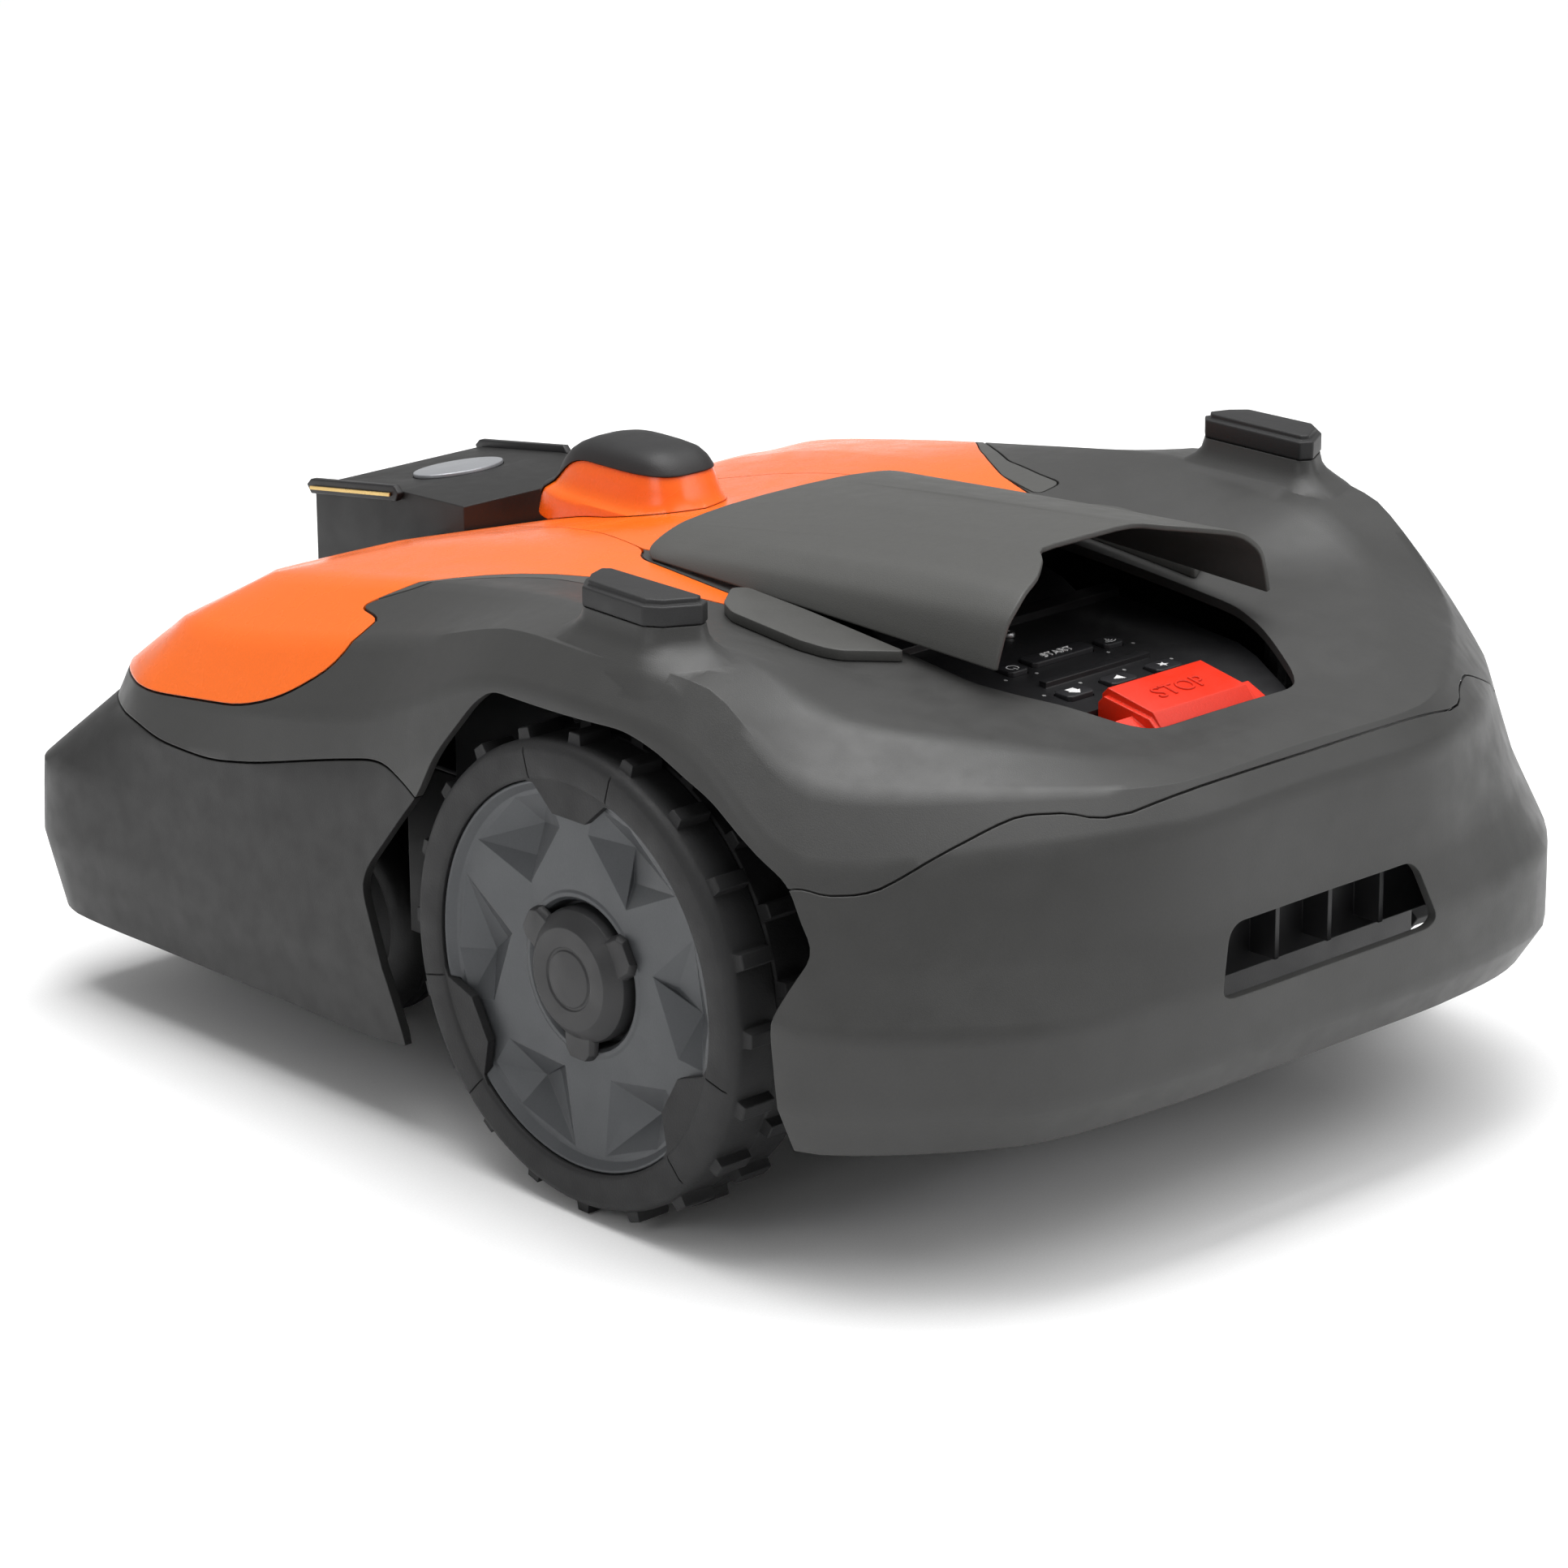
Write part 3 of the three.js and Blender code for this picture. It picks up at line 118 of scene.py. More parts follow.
def make_even_light():
    """A wide sun and a pale world, which fill the shadows."""
    sun = bpy.data.objects.new("even_light", bpy.data.lights.new("even_light", "SUN"))
    sun.data.energy = SUN_STRENGTH
    sun.data.angle = math.radians(SUN_SPREAD)
    sun.rotation_euler = (*(math.radians(v) for v in SUN_TILT), 0)
    bpy.context.collection.objects.link(sun)
    world = bpy.data.worlds.new("studio")
    bpy.context.scene.world = world
    world.use_nodes = True
    background = world.node_tree.nodes["Background"]
    background.inputs[0].default_value = (1, 1, 1, 1)
    background.inputs[1].default_value = WORLD_STRENGTH
    bpy.context.scene.view_settings.view_transform = "Standard"


def make_floor():
    """A plain pale floor just under the wheels."""
    half = FLOOR_HALF
    corners = [(-half, -half, 0), (half, -half, 0), (half, half, 0), (-half, half, 0)]
    mesh = bpy.data.meshes.new("floor")
    mesh.from_pydata(corners, [], [(0, 1, 2, 3)])
    floor = bpy.data.objects.new("floor", mesh)
    floor.location.z = CAD_BOX[0][2] - FLOOR_DROP
    bpy.context.collection.objects.link(floor)
    paint = make_material("floor_paint", (0.9, 0.9, 0.9), 0.75, grain=0.25, spread=0.01)
    floor.data.materials.append(paint)


def make_stage():
    make_camera()
    for lamp in LAMPS:
        make_lamp(*lamp)
    make_even_light()
    make_floor()


# ------------------------------------------------------------------ materials
SPECULAR = 0.38


def make_material(
    name, colour, rough, metal=0.0, grain=1.0, grain_size=1400.0, spread=0.07,
    edge=0.0, coat=0.0, brushed=None,
):
    """Moulded or machined surface: colour drift, fine grain, rounded edges, and a painted highlight that
    makes the edges lighter.
    """
    material = bpy.data.materials.new(name)
    material.use_nodes = True
    nodes, links = material.node_tree.nodes, material.node_tree.links
    shader = nodes["Principled BSDF"]
    shader.inputs["Metallic"].default_value = metal
    shader.inputs["Coat Weight"].default_value = coat
    shader.inputs["Coat Roughness"].default_value = 0.25
    shader.inputs["Specular IOR Level"].default_value = SPECULAR
    place = nodes.new("ShaderNodeTexCoord").outputs["Object"]

    def noise(size, detail=2.0, stretch=None):
        source = place
        if stretch:
            mapping = nodes.new("ShaderNodeMapping")
            mapping.inputs["Scale"].default_value = stretch
            links.new(place, mapping.inputs["Vector"])
            source = mapping.outputs["Vector"]
        texture = nodes.new("ShaderNodeTexNoise")
        texture.inputs["Scale"].default_value = size
        texture.inputs["Detail"].default_value = detail
        links.new(source, texture.inputs["Vector"])
        return texture.outputs["Fac"]

    def ramp(source, low, high, from_low=0.3, from_high=0.7):
        item = nodes.new("ShaderNodeMapRange")
        item.inputs["From Min"].default_value = from_low
        item.inputs["From Max"].default_value = from_high
        item.inputs["To Min"].default_value = low
        item.inputs["To Max"].default_value = high
        links.new(source, item.inputs["Value"])
        return item.outputs["Result"]

    def mix(factor, first, second):
        item = nodes.new("ShaderNodeMix")
        item.data_type = "RGBA"
        links.new(factor, item.inputs["Factor"])
        for value, socket in ((first, item.inputs["A"]), (second, item.inputs["B"])):
            if isinstance(value, tuple):
                socket.default_value = (*value, 1)
            else:
                links.new(value, socket)
        return item.outputs["Result"]

    def tone(share):
        return tuple(min(1.0, c * share) for c in colour)

    base = mix(noise(9, 4), tone(1 - spread), tone(1 + spread))
    speck = ramp(noise(grain_size * 0.6, 1), 0, 0.35)
    base = mix(speck, base, tone(1.18))
    rounded = nodes.new("ShaderNodeBevel")
    rounded.samples = 4
    rounded.inputs["Radius"].default_value = 0.0009
    # Painted highlight: the colour turns lighter along rounded edges, where the bevel's normal leaves the
    # face's own.
    if edge:
        geometry = nodes.new("ShaderNodeNewGeometry")
        bend = nodes.new("ShaderNodeVectorMath")
        bend.operation = "DOT_PRODUCT"
        links.new(rounded.outputs["Normal"], bend.inputs[0])
        links.new(geometry.outputs["Normal"], bend.inputs[1])
        base = mix(ramp(bend.outputs["Value"], edge, 0, 0.8, 0.99), base, tone(1.9))
    links.new(base, shader.inputs["Base Color"])
    links.new(ramp(noise(60, 3), rough - 0.05, rough + 0.06), shader.inputs["Roughness"])
    bump = nodes.new("ShaderNodeBump")
    bump.inputs["Strength"].default_value = 0.35 * grain
    bump.inputs["Distance"].default_value = 0.00025
    links.new(noise(grain_size, 2, brushed), bump.inputs["Height"])
    links.new(rounded.outputs["Normal"], bump.inputs["Normal"])
    links.new(bump.outputs["Normal"], shader.inputs["Normal"])
    return material


LOOKS = {  # colour, roughness, and what sets it apart from plain moulded plastic; edge is the strength of the painted edge highlight
    "body_grey": ((0.036, 0.036, 0.035), 0.42, {"grain": 0.8, "edge": 0.2}),
    "skirt_charcoal": ((0.012, 0.012, 0.0118), 0.48, {"grain": 0.9, "edge": 0.2}),
    "orange": ((0.78, 0.125, 0.004), 0.26, {"grain": 0.25, "spread": 0.03, "coat": 0.25}),
    "light_grey": ((0.058, 0.058, 0.055), 0.48, {"edge": 0.2}),
    "black_rubber": ((0.014, 0.014, 0.0145), 0.5, {"grain": 1.2, "edge": 0.25}),
    "black_plastic": ((0.012, 0.012, 0.013), 0.38, {"grain": 0.6, "edge": 0.15}),
    "contact_brass": ((0.62, 0.43, 0.17), 0.3, {"metal": 1, "grain": 0.3}),
    "motor_metal": ((0.4, 0.4, 0.41), 0.42, {"metal": 1}),
    "tyre": ((0.009, 0.009, 0.0095), 0.58, {"grain": 1.6, "grain_size": 900, "edge": 0.3}),
    "rim_grey": ((0.062, 0.065, 0.069), 0.36, {"metal": 0.35, "grain": 0.7, "edge": 0.35}),
    "hub_charcoal": ((0.02, 0.02, 0.021), 0.42, {"grain": 0.8, "edge": 0.25}),
    "steel": ((0.5, 0.5, 0.51), 0.3, {"metal": 1, "brushed": (1, 14, 1)}),
    "badge_grey": ((0.36, 0.37, 0.39), 0.35, {"metal": 0.6, "grain": 0.5}),
    "key_black": ((0.018, 0.018, 0.02), 0.42, {"grain": 0.8, "edge": 0.2}),
    "stop_red": ((0.62, 0.022, 0.005), 0.36, {"grain": 1.2, "grain_size": 1000, "spread": 0.04}),
    "battery_black": ((0.03, 0.03, 0.035), 0.5, {}),
    "board_green": ((0.03, 0.1, 0.05), 0.5, {}),
    "glyph_white": ((0.75, 0.75, 0.75), 0.5, {"grain": 0.2}),
    "lens_grey": ((0.3, 0.3, 0.3), 0.25, {"grain": 0.1}),
    "glass_black": ((0.006, 0.006, 0.007), 0.08, {"grain": 0.05, "coat": 0.5}),
}
MATERIALS = {
    name: make_material(name, colour, rough, **extra)
    for name, (colour, rough, extra) in LOOKS.items()
}


# ------------------------------------------------------------------ mesh helpers
WELD = 0.00001


def new_object(name, points, faces):
    """A mesh object from points in millimetres."""
    mesh = bpy.data.meshes.new(name)
    mesh.from_pydata([tuple(c * MM for c in p) for p in points], [], faces)
    mesh.validate()
    item = bpy.data.objects.new(name, mesh)
    bpy.context.collection.objects.link(item)
    return item


def tidy(item):
    """Welds near points and turns every face outwards."""
    work = bmesh.new()
    work.from_mesh(item.data)
    bmesh.ops.remove_doubles(work, verts=work.verts, dist=WELD)
    bmesh.ops.recalc_face_normals(work, faces=work.faces)
    work.to_mesh(item.data)
    work.free()
    return item


def copy_of(item):
    """A copy in the scene, with a mesh of its own."""
    twin = bpy.data.objects.new(item.name, item.data.copy())
    bpy.context.collection.objects.link(twin)
    return twin


def combine(target, tool, operation="DIFFERENCE", keep=False):
    """Solid boolean; the tool goes away unless it is kept."""
    step = target.modifiers.new("solid", "BOOLEAN")
    step.operation = operation
    step.object = tool
    step.solver = "MANIFOLD"
    graph = bpy.context.evaluated_depsgraph_get()
    made = bpy.data.meshes.new_from_object(target.evaluated_get(graph))
    target.modifiers.clear()
    target.data = made
    if not keep:
        bpy.data.objects.remove(tool)
    return target


def mirrored(item):
    """A copy mirrored to the other side."""
    twin = copy_of(item)
    twin.data.transform(Matrix.Scale(-1, 4, (1, 0, 0)))
    twin.data.flip_normals()
    return twin


def rounded_outline(points, reach=12.0, steps=4):
    """The outline with each corner eased by a curve that starts this far from it."""
    made = []
    count = len(points)
    for i, here in enumerate(points):
        before, after = Vector(points[i - 1]), Vector(points[(i + 1) % count])
        corner = Vector(here)
        first = corner + (before - corner) * min(0.45, reach / max(0.1, (before - corner).length))
        last = corner + (after - corner) * min(0.45, reach / max(0.1, (after - corner).length))
        for s in range(steps + 1):
            t = s / steps
            made.append(tuple(first * (1 - t) ** 2 + corner * 2 * t * (1 - t) + last * t * t))
    return made


def grown(points, distance):
    """The outline moved outwards by a distance."""
    area = sum(
        p[0] * points[(i + 1) % len(points)][1] - points[(i + 1) % len(points)][0] * p[1]
        for i, p in enumerate(points)
    )
    turn = 1 if area > 0 else -1
    made = []
    for i, p in enumerate(points):
        a = (Vector(p) - Vector(points[i - 1])).normalized()
        b = (Vector(points[(i + 1) % len(points)]) - Vector(p)).normalized()
        out = Vector(((a.y + b.y) * turn, -(a.x + b.x) * turn))
        reach = distance / max(0.35, out.length / 2)
        made.append(tuple(Vector(p) + out.normalized() * reach))
    return made


def prism(points, low, high, axis="z"):
    """A solid of an outline: axis z takes (x, y), x takes (y, z) and y takes (x, z)."""
    place = {
        "z": lambda a, b, c: (a, b, c),
        "x": lambda a, b, c: (c, a, b),
        "y": lambda a, b, c: (a, c, b),
    }[axis]
    count = len(points)
    corners = [place(*p, low) for p in points] + [place(*p, high) for p in points]
    faces = [tuple(range(count)), tuple(range(2 * count - 1, count - 1, -1))]
    faces += [(i, (i + 1) % count, (i + 1) % count + count, i + count) for i in range(count)]
    return tidy(new_object("prism", corners, faces))


def block(low, high):
    """A box between two corners."""
    outline = [(low[0], low[1]), (high[0], low[1]), (high[0], high[1]), (low[0], high[1])]
    return prism(outline, low[2], high[2])


def loft(rings):
    """A closed solid through rings of points, with flat ends."""
    count = len(rings[0])
    points = [p for ring in rings for p in ring]
    faces = []
    for level in range(len(rings) - 1):
        for i in range(count):
            a, b = level * count + i, level * count + (i + 1) % count
            faces.append((a, b, b + count, a + count))
    faces.append(tuple(range(count)))
    faces.append(tuple(range((len(rings) - 1) * count, len(rings) * count)))
    return tidy(new_object("loft", points, faces))


def round_edges(item, width, segments=3, angle=28):
    """Softens the hard edges of a mesh."""
    work = bmesh.new()
    work.from_mesh(item.data)
    bmesh.ops.remove_doubles(work, verts=work.verts, dist=0.00002)
    bmesh.ops.dissolve_limit(
        work, angle_limit=math.radians(1.5), verts=work.verts, edges=work.edges
    )
    sharp = [
        e for e in work.edges
        if len(e.link_faces) == 2 and e.calc_face_angle(0) > math.radians(angle)
    ]
    if sharp:
        bmesh.ops.bevel(
            work, geom=sharp, offset=width * MM, segments=segments, profile=0.6,
            affect="EDGES", clamp_overlap=True,
        )
    work.to_mesh(item.data)
    work.free()
    return item


def finish_piece(item, name, body, slot, nodes=(), material=None, smooth=34):
    """Names and paints a piece, and puts it on its body in place of its CAD nodes."""
    item.name = name
    item.data.name = name
    item.data.materials.clear()
    item.data.materials.append(MATERIALS[material or slot])
    item.data.shade_smooth()
    item.data.set_sharp_from_angle(angle=math.radians(smooth))
    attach(item, body)
    if nodes:
        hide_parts(*nodes)
    return item


def finish_sides(item, stem, smooth=34):
    """Puts the piece on both sides of the machine; the one it was made from goes away."""
    for side, sign in SIDES:
        node = stem + side
        piece = copy_of(item) if sign > 0 else mirrored(item)
        finish_piece(piece, node + "_fine", BODY_OF[node], SLOT_OF[node], [node], smooth=smooth)
    bpy.data.objects.remove(item)


def fine_node(node, width):
    """A CAD node's own shape with its hard edges rounded."""
    item = round_edges(copy_of(frame["nodes"][node]), width)
    finish_piece(item, node + "_fine", BODY_OF[node], SLOT_OF[node], [node])


# ------------------------------------------------------------------ the body's surface
# One column of points per place round the left half of the body, front to rear,
# climbing from the bottom edge over the shoulder to the middle of the top.
CAGE = [
    [(0, -366, 52), (0, -374, 95), (0, -374, 138), (0, -330, 183), (0, -322, 200),
     (0, -300, 222), (0, -272, 240), (0, -235, 250), (0, -200, 262)],
    [(110, -366, 52), (110, -374, 95), (110, -374, 138), (110, -330, 183), (110, -322, 200),
     (106, -298, 224), (98, -270, 246), (78, -232, 258), (0, -165, 271)],
    [(205, -366, 50), (207, -375, 95), (207, -374, 138), (206, -326, 182), (204, -320, 200),
     (196, -292, 226), (172, -262, 251), (125, -218, 266), (0, -140, 277)],
    [(256, -364, 50), (264, -373, 95), (263, -371, 138), (246, -322, 182), (240, -317, 200),
     (223, -288, 228), (190, -250, 254), (132, -200, 271), (0, -120, 280)],
    [(275, -334, 50), (283, -338, 95), (283, -335, 138), (272, -284, 180), (264, -280, 200),
     (242, -262, 234), (204, -230, 261), (138, -176, 277), (0, -100, 284)],
    [(276, -240, 50), (283, -240, 95), (283, -240, 140), (281, -238, 177), (272, -234, 200),
     (250, -226, 236), (210, -200, 267), (140, -150, 282), (0, -78, 289)],
    [(276, -150, 50), (283, -150, 95), (283, -150, 140), (281, -150, 184), (274, -148, 214),
     (252, -144, 250), (212, -130, 279), (140, -98, 289), (0, -52, 294)],
    [(276, -62, 50), (283, -62, 95), (283, -62, 140), (280, -62, 196), (272, -62, 232),
     (250, -62, 268), (208, -58, 291), (140, -45, 292), (0, -24, 292)],
    [(276, 15, 60), (282, 20, 100), (283, 25, 160), (282, 28, 232), (275, 30, 272),
     (258, 34, 297), (214, 36, 303), (146, 38, 290), (0, 30, 284)],
    [(276, 108, 70), (282, 108, 105), (283, 108, 160), (282, 108, 240), (278, 108, 280),
     (262, 108, 300), (218, 108, 304), (146, 106, 286), (0, 90, 281)],
    [(276, 195, 78), (281, 195, 104), (281, 195, 160), (278, 192, 232), (270, 188, 270),
     (250, 182, 296), (208, 172, 300), (142, 160, 281), (0, 150, 277)],
    [(266, 278, 80), (276, 274, 104), (276, 272, 146), (266, 264, 180), (257, 256, 222),
     (238, 242, 256), (200, 225, 278), (136, 206, 276), (0, 200, 272)],
    [(188, 342, 82), (197, 353, 104), (197, 353, 146), (183, 341, 180), (171, 328, 230),
     (158, 314, 252), (134, 290, 264), (108, 262, 268), (0, 245, 268)],
    [(100, 364, 87), (101, 374, 106), (101, 374, 146), (99, 367, 178), (96, 362, 234),
     (92, 351, 251), (84, 326, 256), (70, 300, 258), (0, 278, 262)],
    [(0, 367, 89), (0, 376, 107), (0, 376, 146), (0, 369, 178), (0, 364, 236),
     (0, 353, 252), (0, 330, 256), (0, 314, 257), (0, 302, 258)],
]
ROUND_SHARE = 0.8  # how far the surface leaves the straight lines between the points
CLIMB_SHARE = 0.06  # the same, up a column
STEPS = 6  # fine points for each point of the cage


def between(a, b, c, d, t, share=ROUND_SHARE):
    """A point between b and c on a smooth line through a, b, c and d."""
    smooth = (
        b * 2 + (c - a) * t + (a * 2 - b * 5 + c * 4 - d) * t * t
        + (b * 3 - a - c * 3 + d) * t * t * t
    ) * 0.5
    return b.lerp(c, t) * (1 - share) + smooth * share


def refine(line, before, after, share=ROUND_SHARE, steps=STEPS):
    """A smooth line through the points; one more point beyond each end bends it there."""
    padded = [before, *line, after]
    made = []
    for i in range(1, len(padded) - 2):
        made += [between(*padded[i - 1:i + 3], s / steps, share) for s in range(steps)]
    return [*made, line[-1]]


def flipped(p):
    """The point's mirror image on the other side."""
    return Vector((-p.x, p.y, p.z))


def fine_surface():
    """The cage's columns and rows, both made finer."""
    columns = []
    for j, column in enumerate(CAGE):
        line = [Vector(p) for p in column]
        ends = j in (0, len(CAGE) - 1)
        top = line[-1] * 2 - line[-2] if ends else flipped(line[-2])
        columns.append(refine(line, line[0] * 2 - line[1], top, CLIMB_SHARE))
    rows = []
    for k in range(len(columns[0])):
        line = [column[k] for column in columns]
        rows.append(refine(line, flipped(line[1]), flipped(line[-2])))
    return [list(column) for column in zip(*rows)]


SURFACE = fine_surface()
OPEN_BELOW = 12  # an inset form runs this far out through the open bottom


def body_solid(inset):
    """The whole body's solid form, made smaller all round by an inset."""
    columns, rows = len(SURFACE), len(SURFACE[0])
    points, left, right = [], [], []
    for j in range(columns):
        left.append([])
        right.append([])
        for k in range(rows):
            p = SURFACE[j][k].copy()
            middle = j in (0, columns - 1) or k == rows - 1
            if inset:
                along = SURFACE[min(columns - 1, j + 1)][k] - SURFACE[max(0, j - 1)][k]
                climb = SURFACE[j][min(rows - 1, k + 1)] - SURFACE[j][max(0, k - 1)]
                if j in (0, columns - 1):
                    along = Vector((1, 0, 0))
                normal = along.cross(climb)
                if k == rows - 1:
                    normal = Vector((0, 0, -1))
                if normal.length < 1e-6:
                    normal = Vector((0, 0, -1))
                normal.normalize()
                if normal.dot(Vector((p.x, p.y * 0.6, 90))) > 0:
                    normal.negate()
                p += normal * inset
                if k == 0:
                    p.z -= OPEN_BELOW
            if middle:
                p.x = 0
            left[j].append(len(points))
            points.append(p)
            if middle:
                right[j].append(left[j][k])
            else:
                right[j].append(len(points))
                points.append(flipped(p))
    faces = []
    for j in range(columns - 1):
        for k in range(rows - 1):
            for ring, turn in ((left, 1), (right, -1)):
                quad = (ring[j][k], ring[j][k + 1], ring[j + 1][k + 1], ring[j + 1][k])
                quad = tuple(dict.fromkeys(quad if turn > 0 else quad[::-1]))
                if len(quad) > 2:
                    faces.append(quad)
        quad = tuple(dict.fromkeys((right[j][0], left[j][0], left[j + 1][0], right[j + 1][0])))
        if len(quad) > 2:
            faces.append(quad)
    return tidy(new_object("body", points, faces))


SKIN, WALL, GAP, JOINT_LINE = 2.4, 5.2, 0.4, 0.7
SEAM = 1.3  # open line left round each outer panel
BODY = body_solid(0)
UNDER_SKIN = body_solid(SKIN)
UNDER_SKIN_CLEAR = body_solid(SKIN + GAP)
INSIDE = body_solid(WALL)

# ------------------------------------------------------------------ cut lines
ARCH = rounded_outline([
    (-32, 20), (-36, 58), (-44, 93), (-60, 137), (-56, 150), (-25, 187), (-13, 200),
    (3, 228), (30, 260), (44, 270), (146, 272), (168, 266), (206, 248), (238, 224),
    (251, 215), (269, 181), (257, 147), (262, 102), (270, 20),
], 9)
SKIRT_TOP = [
    (-420, 181), (-320, 181), (-271, 181), (-242, 177), (-192, 177), (-154, 184), (-92, 200),
    (-50, 210), (-30, 207), (0, 190), (0, 20), (-420, 20),
]
BUMPER_LINE = [
    (0, -109), (120, -107), (150, -86), (170, -74), (200, -73), (232, -73), (250, -60),
    (268, -36), (330, 10),
]
CENTRE_PANEL = [(-62, -232), (62, -232), (97, -40), (90, -24), (-90, -24), (-97, -40)]
ARM_PANEL = [
    (62 + JOINT_LINE, -232), (67, -262), (120, -270), (175, -296), (215, -330), (300, -345),
    (300, -97), (236, -97), (229, -124), (208, -92), (185, -66), (165, -38), (150, -14),
    (136, 25), (124, 68), (113, 62), (110, -30), (97 + JOINT_LINE, -40),
]
ARM_LOWER_EDGE = [
    (-420, 196), (-323, 198), (-260, 199), (-175, 211), (-142, 223), (-108, 246), (-96, 276),
    (-96, 420), (-420, 420),
]
INLAY_PANEL = [
    (226, -121), (214, -94), (192, -62), (172, -30), (163, 4), (160, 24), (141, 24), (150, -12),
    (165.5, -37.2), (185.5, -65.4), (208.5, -91.4),
]
CONSOLE_OPENING = [
    (-84, 20), (84, 20), (96, 60), (99, 215), (90, 240), (64, 288), (52, 300), (-52, 300),
    (-64, 288), (-90, 240), (-99, 215), (-96, 60),
]
SLOT = [
    (-82, 143), (-76, 139), (76, 139), (82, 143), (72, 171), (65, 176), (-65, 176), (-72, 171),
]
STEP_TRIM = [(109, 56), (117, 52), (139, 70), (146, 84), (149, 138), (138, 158), (109, 176)]
PAD = [(221, 78), (227, 72), (240, 77), (250, 86), (252, 134), (246, 143), (228, 153), (221, 149)]
PEDESTAL_ROOT = [
    (204, 52), (216, 44), (250, 50), (264, 64), (268, 150), (256, 170), (224, 180), (204, 166),
]
NOSE_HALF_WIDTH, NOSE_FRONT, NOSE_REAR = 62, -384, -236
PEDESTAL_RINGS = (  # share of the way from the root to the pad, height
    (-0.06, 285), (0.1, 295), (0.34, 300), (0.62, 304.5), (0.82, 308), (0.94, 312), (1, 318.1),
)
HIGH, WIDE, FAR = 420, 330, 500  # cutters reach this far, clear of the body


def both_sides(make):
    """A solid joined with its mirror image."""
    first = make()
    return combine(first, mirrored(first), "UNION")


def skirt_zone(shift):
    """The part of the body that is a front skirt; a shift opens its joint line."""
    top_points = len(SKIRT_TOP) - 2
    outline = [(y, z + (shift if i < top_points else 0)) for i, (y, z) in enumerate(SKIRT_TOP)]
    return prism(rounded_outline(outline, 14), NOSE_HALF_WIDTH + 0.8 - shift * 2, WIDE, "x")


def bumper_zone(shift):
    """The part of the body that is the rear bumper; its seam is drawn on a leaning plane."""
    half = [Vector((x, w)) for x, w in BUMPER_LINE]
    fine = [half[0]]
    for i in range(len(half) - 1):
        a, b = half[max(0, i - 1)], half[i]
        c, d = half[i + 1], half[min(len(half) - 1, i + 2)]
        fine += [between(a, b, c, d, s / 4) for s in range(1, 5)]
    line = [(p.x, p.y / math.sqrt(2) + shift) for p in fine]
    outline = [(-x, w) for x, w in reversed(line[1:])] + line + [(WIDE, -FAR), (-WIDE, -FAR)]
    item = prism(outline, -FAR, FAR)
    lean = math.sqrt(0.5)
    item.data.transform(Matrix((
        (1, 0, 0, 0), (0, -lean, -lean, 0), (0, lean, -lean, 0), (0, 0, 0, 1),
    )))
    tidy(item)
    return combine(item, block((-FAR, 225, 0), (FAR, FAR, FAR)), "INTERSECT")


def arm_zone(outline, shift):
    """The part of the skin that is an orange arm panel, down to its lower edge."""
    edge = grown(ARM_LOWER_EDGE, shift) if shift > 0 else ARM_LOWER_EDGE
    flank = block((212, -HIGH, -1), (341, 0, 421))
    combine(flank, prism(rounded_outline(edge, 16), 200, 350, "x"))
    return combine(prism(outline, 196 - shift, HIGH), flank)


def nose_cut():
    """Room for the nose module."""
    half = NOSE_HALF_WIDTH + GAP
    return block((-half, NOSE_FRONT, 0), (half, NOSE_REAR + GAP, HIGH))


def pedestal():
    """The raised foot of a rest pad, from its wide root up to the pad's own outline."""
    root, pad = rounded_outline(PEDESTAL_ROOT, 14), rounded_outline(PAD, 5)
    return loft([
        [(a[0] + (b[0] - a[0]) * share, a[1] + (b[1] - a[1]) * share, z) for a, b in zip(root, pad)]
        for share, z in PEDESTAL_RINGS
    ])


ARCHES = both_sides(lambda: prism(ARCH, 212, 320, "x"))
ARM_FINE, INLAY_FINE = rounded_outline(ARM_PANEL, 9), rounded_outline(INLAY_PANEL, 6)
CENTRE_FINE = rounded_outline(CENTRE_PANEL, 3)


def keep_largest(item):
    """Drops the crumbs that a cut may leave."""
    work = bmesh.new()
    work.from_mesh(item.data)
    seen, islands = set(), []
    for start in work.verts:
        if start in seen:
            continue
        group, queue = [], [start]
        seen.add(start)
        while queue:
            here = queue.pop()
            group.append(here)
            for e in here.link_edges:
                other = e.other_vert(here)
                if other not in seen:
                    seen.add(other)
                    queue.append(other)
        islands.append(group)
    islands.sort(key=len)
    bmesh.ops.delete(work, geom=[v for g in islands[:-1] for v in g], context="VERTS")
    work.to_mesh(item.data)
    work.free()
    return item


def skin_cut(zone):
    """Keeps only what a cutter takes out of the outer skin."""
    return combine(zone, UNDER_SKIN_CLEAR, keep=True)


def make_cover():
    """The cover's wall, with the place of each neighbour cut out of it."""
    wall = copy_of(BODY)
    post = pedestal()
    combine(wall, mirrored(post), "UNION")
    combine(wall, post, "UNION")
    combine(wall, INSIDE, keep=True)
    cutters = [
        skin_cut(arm_zone(grown(ARM_FINE, SEAM), SEAM)),
        skin_cut(prism(grown(INLAY_FINE, SEAM), 0, HIGH)),
        skirt_zone(SEAM),
    ]
    for cutter in cutters:
        combine(wall, mirrored(cutter))
        combine(wall, cutter)
    combine(wall, skin_cut(prism(grown(CENTRE_FINE, SEAM), 0, HIGH)))
    combine(wall, bumper_zone(SEAM))
    combine(wall, ARCHES, keep=True)
    combine(wall, prism(rounded_outline(CONSOLE_OPENING, 10), 190, HIGH))
    combine(wall, nose_cut())
    finish_piece(keep_largest(wall), "cover_shell", "cover", "body_grey", ["main_cover"])


def make_skirts(ring):
    """The dark skirts in front of the drive wheels."""
    skirt = combine(copy_of(ring), skirt_zone(0), "INTERSECT")
    combine(skirt, ARCHES, keep=True)
    combine(skirt, block((-FAR, -FAR, -50), (70, FAR, 450)))
    finish_sides(keep_largest(skirt), "front_skirt_")


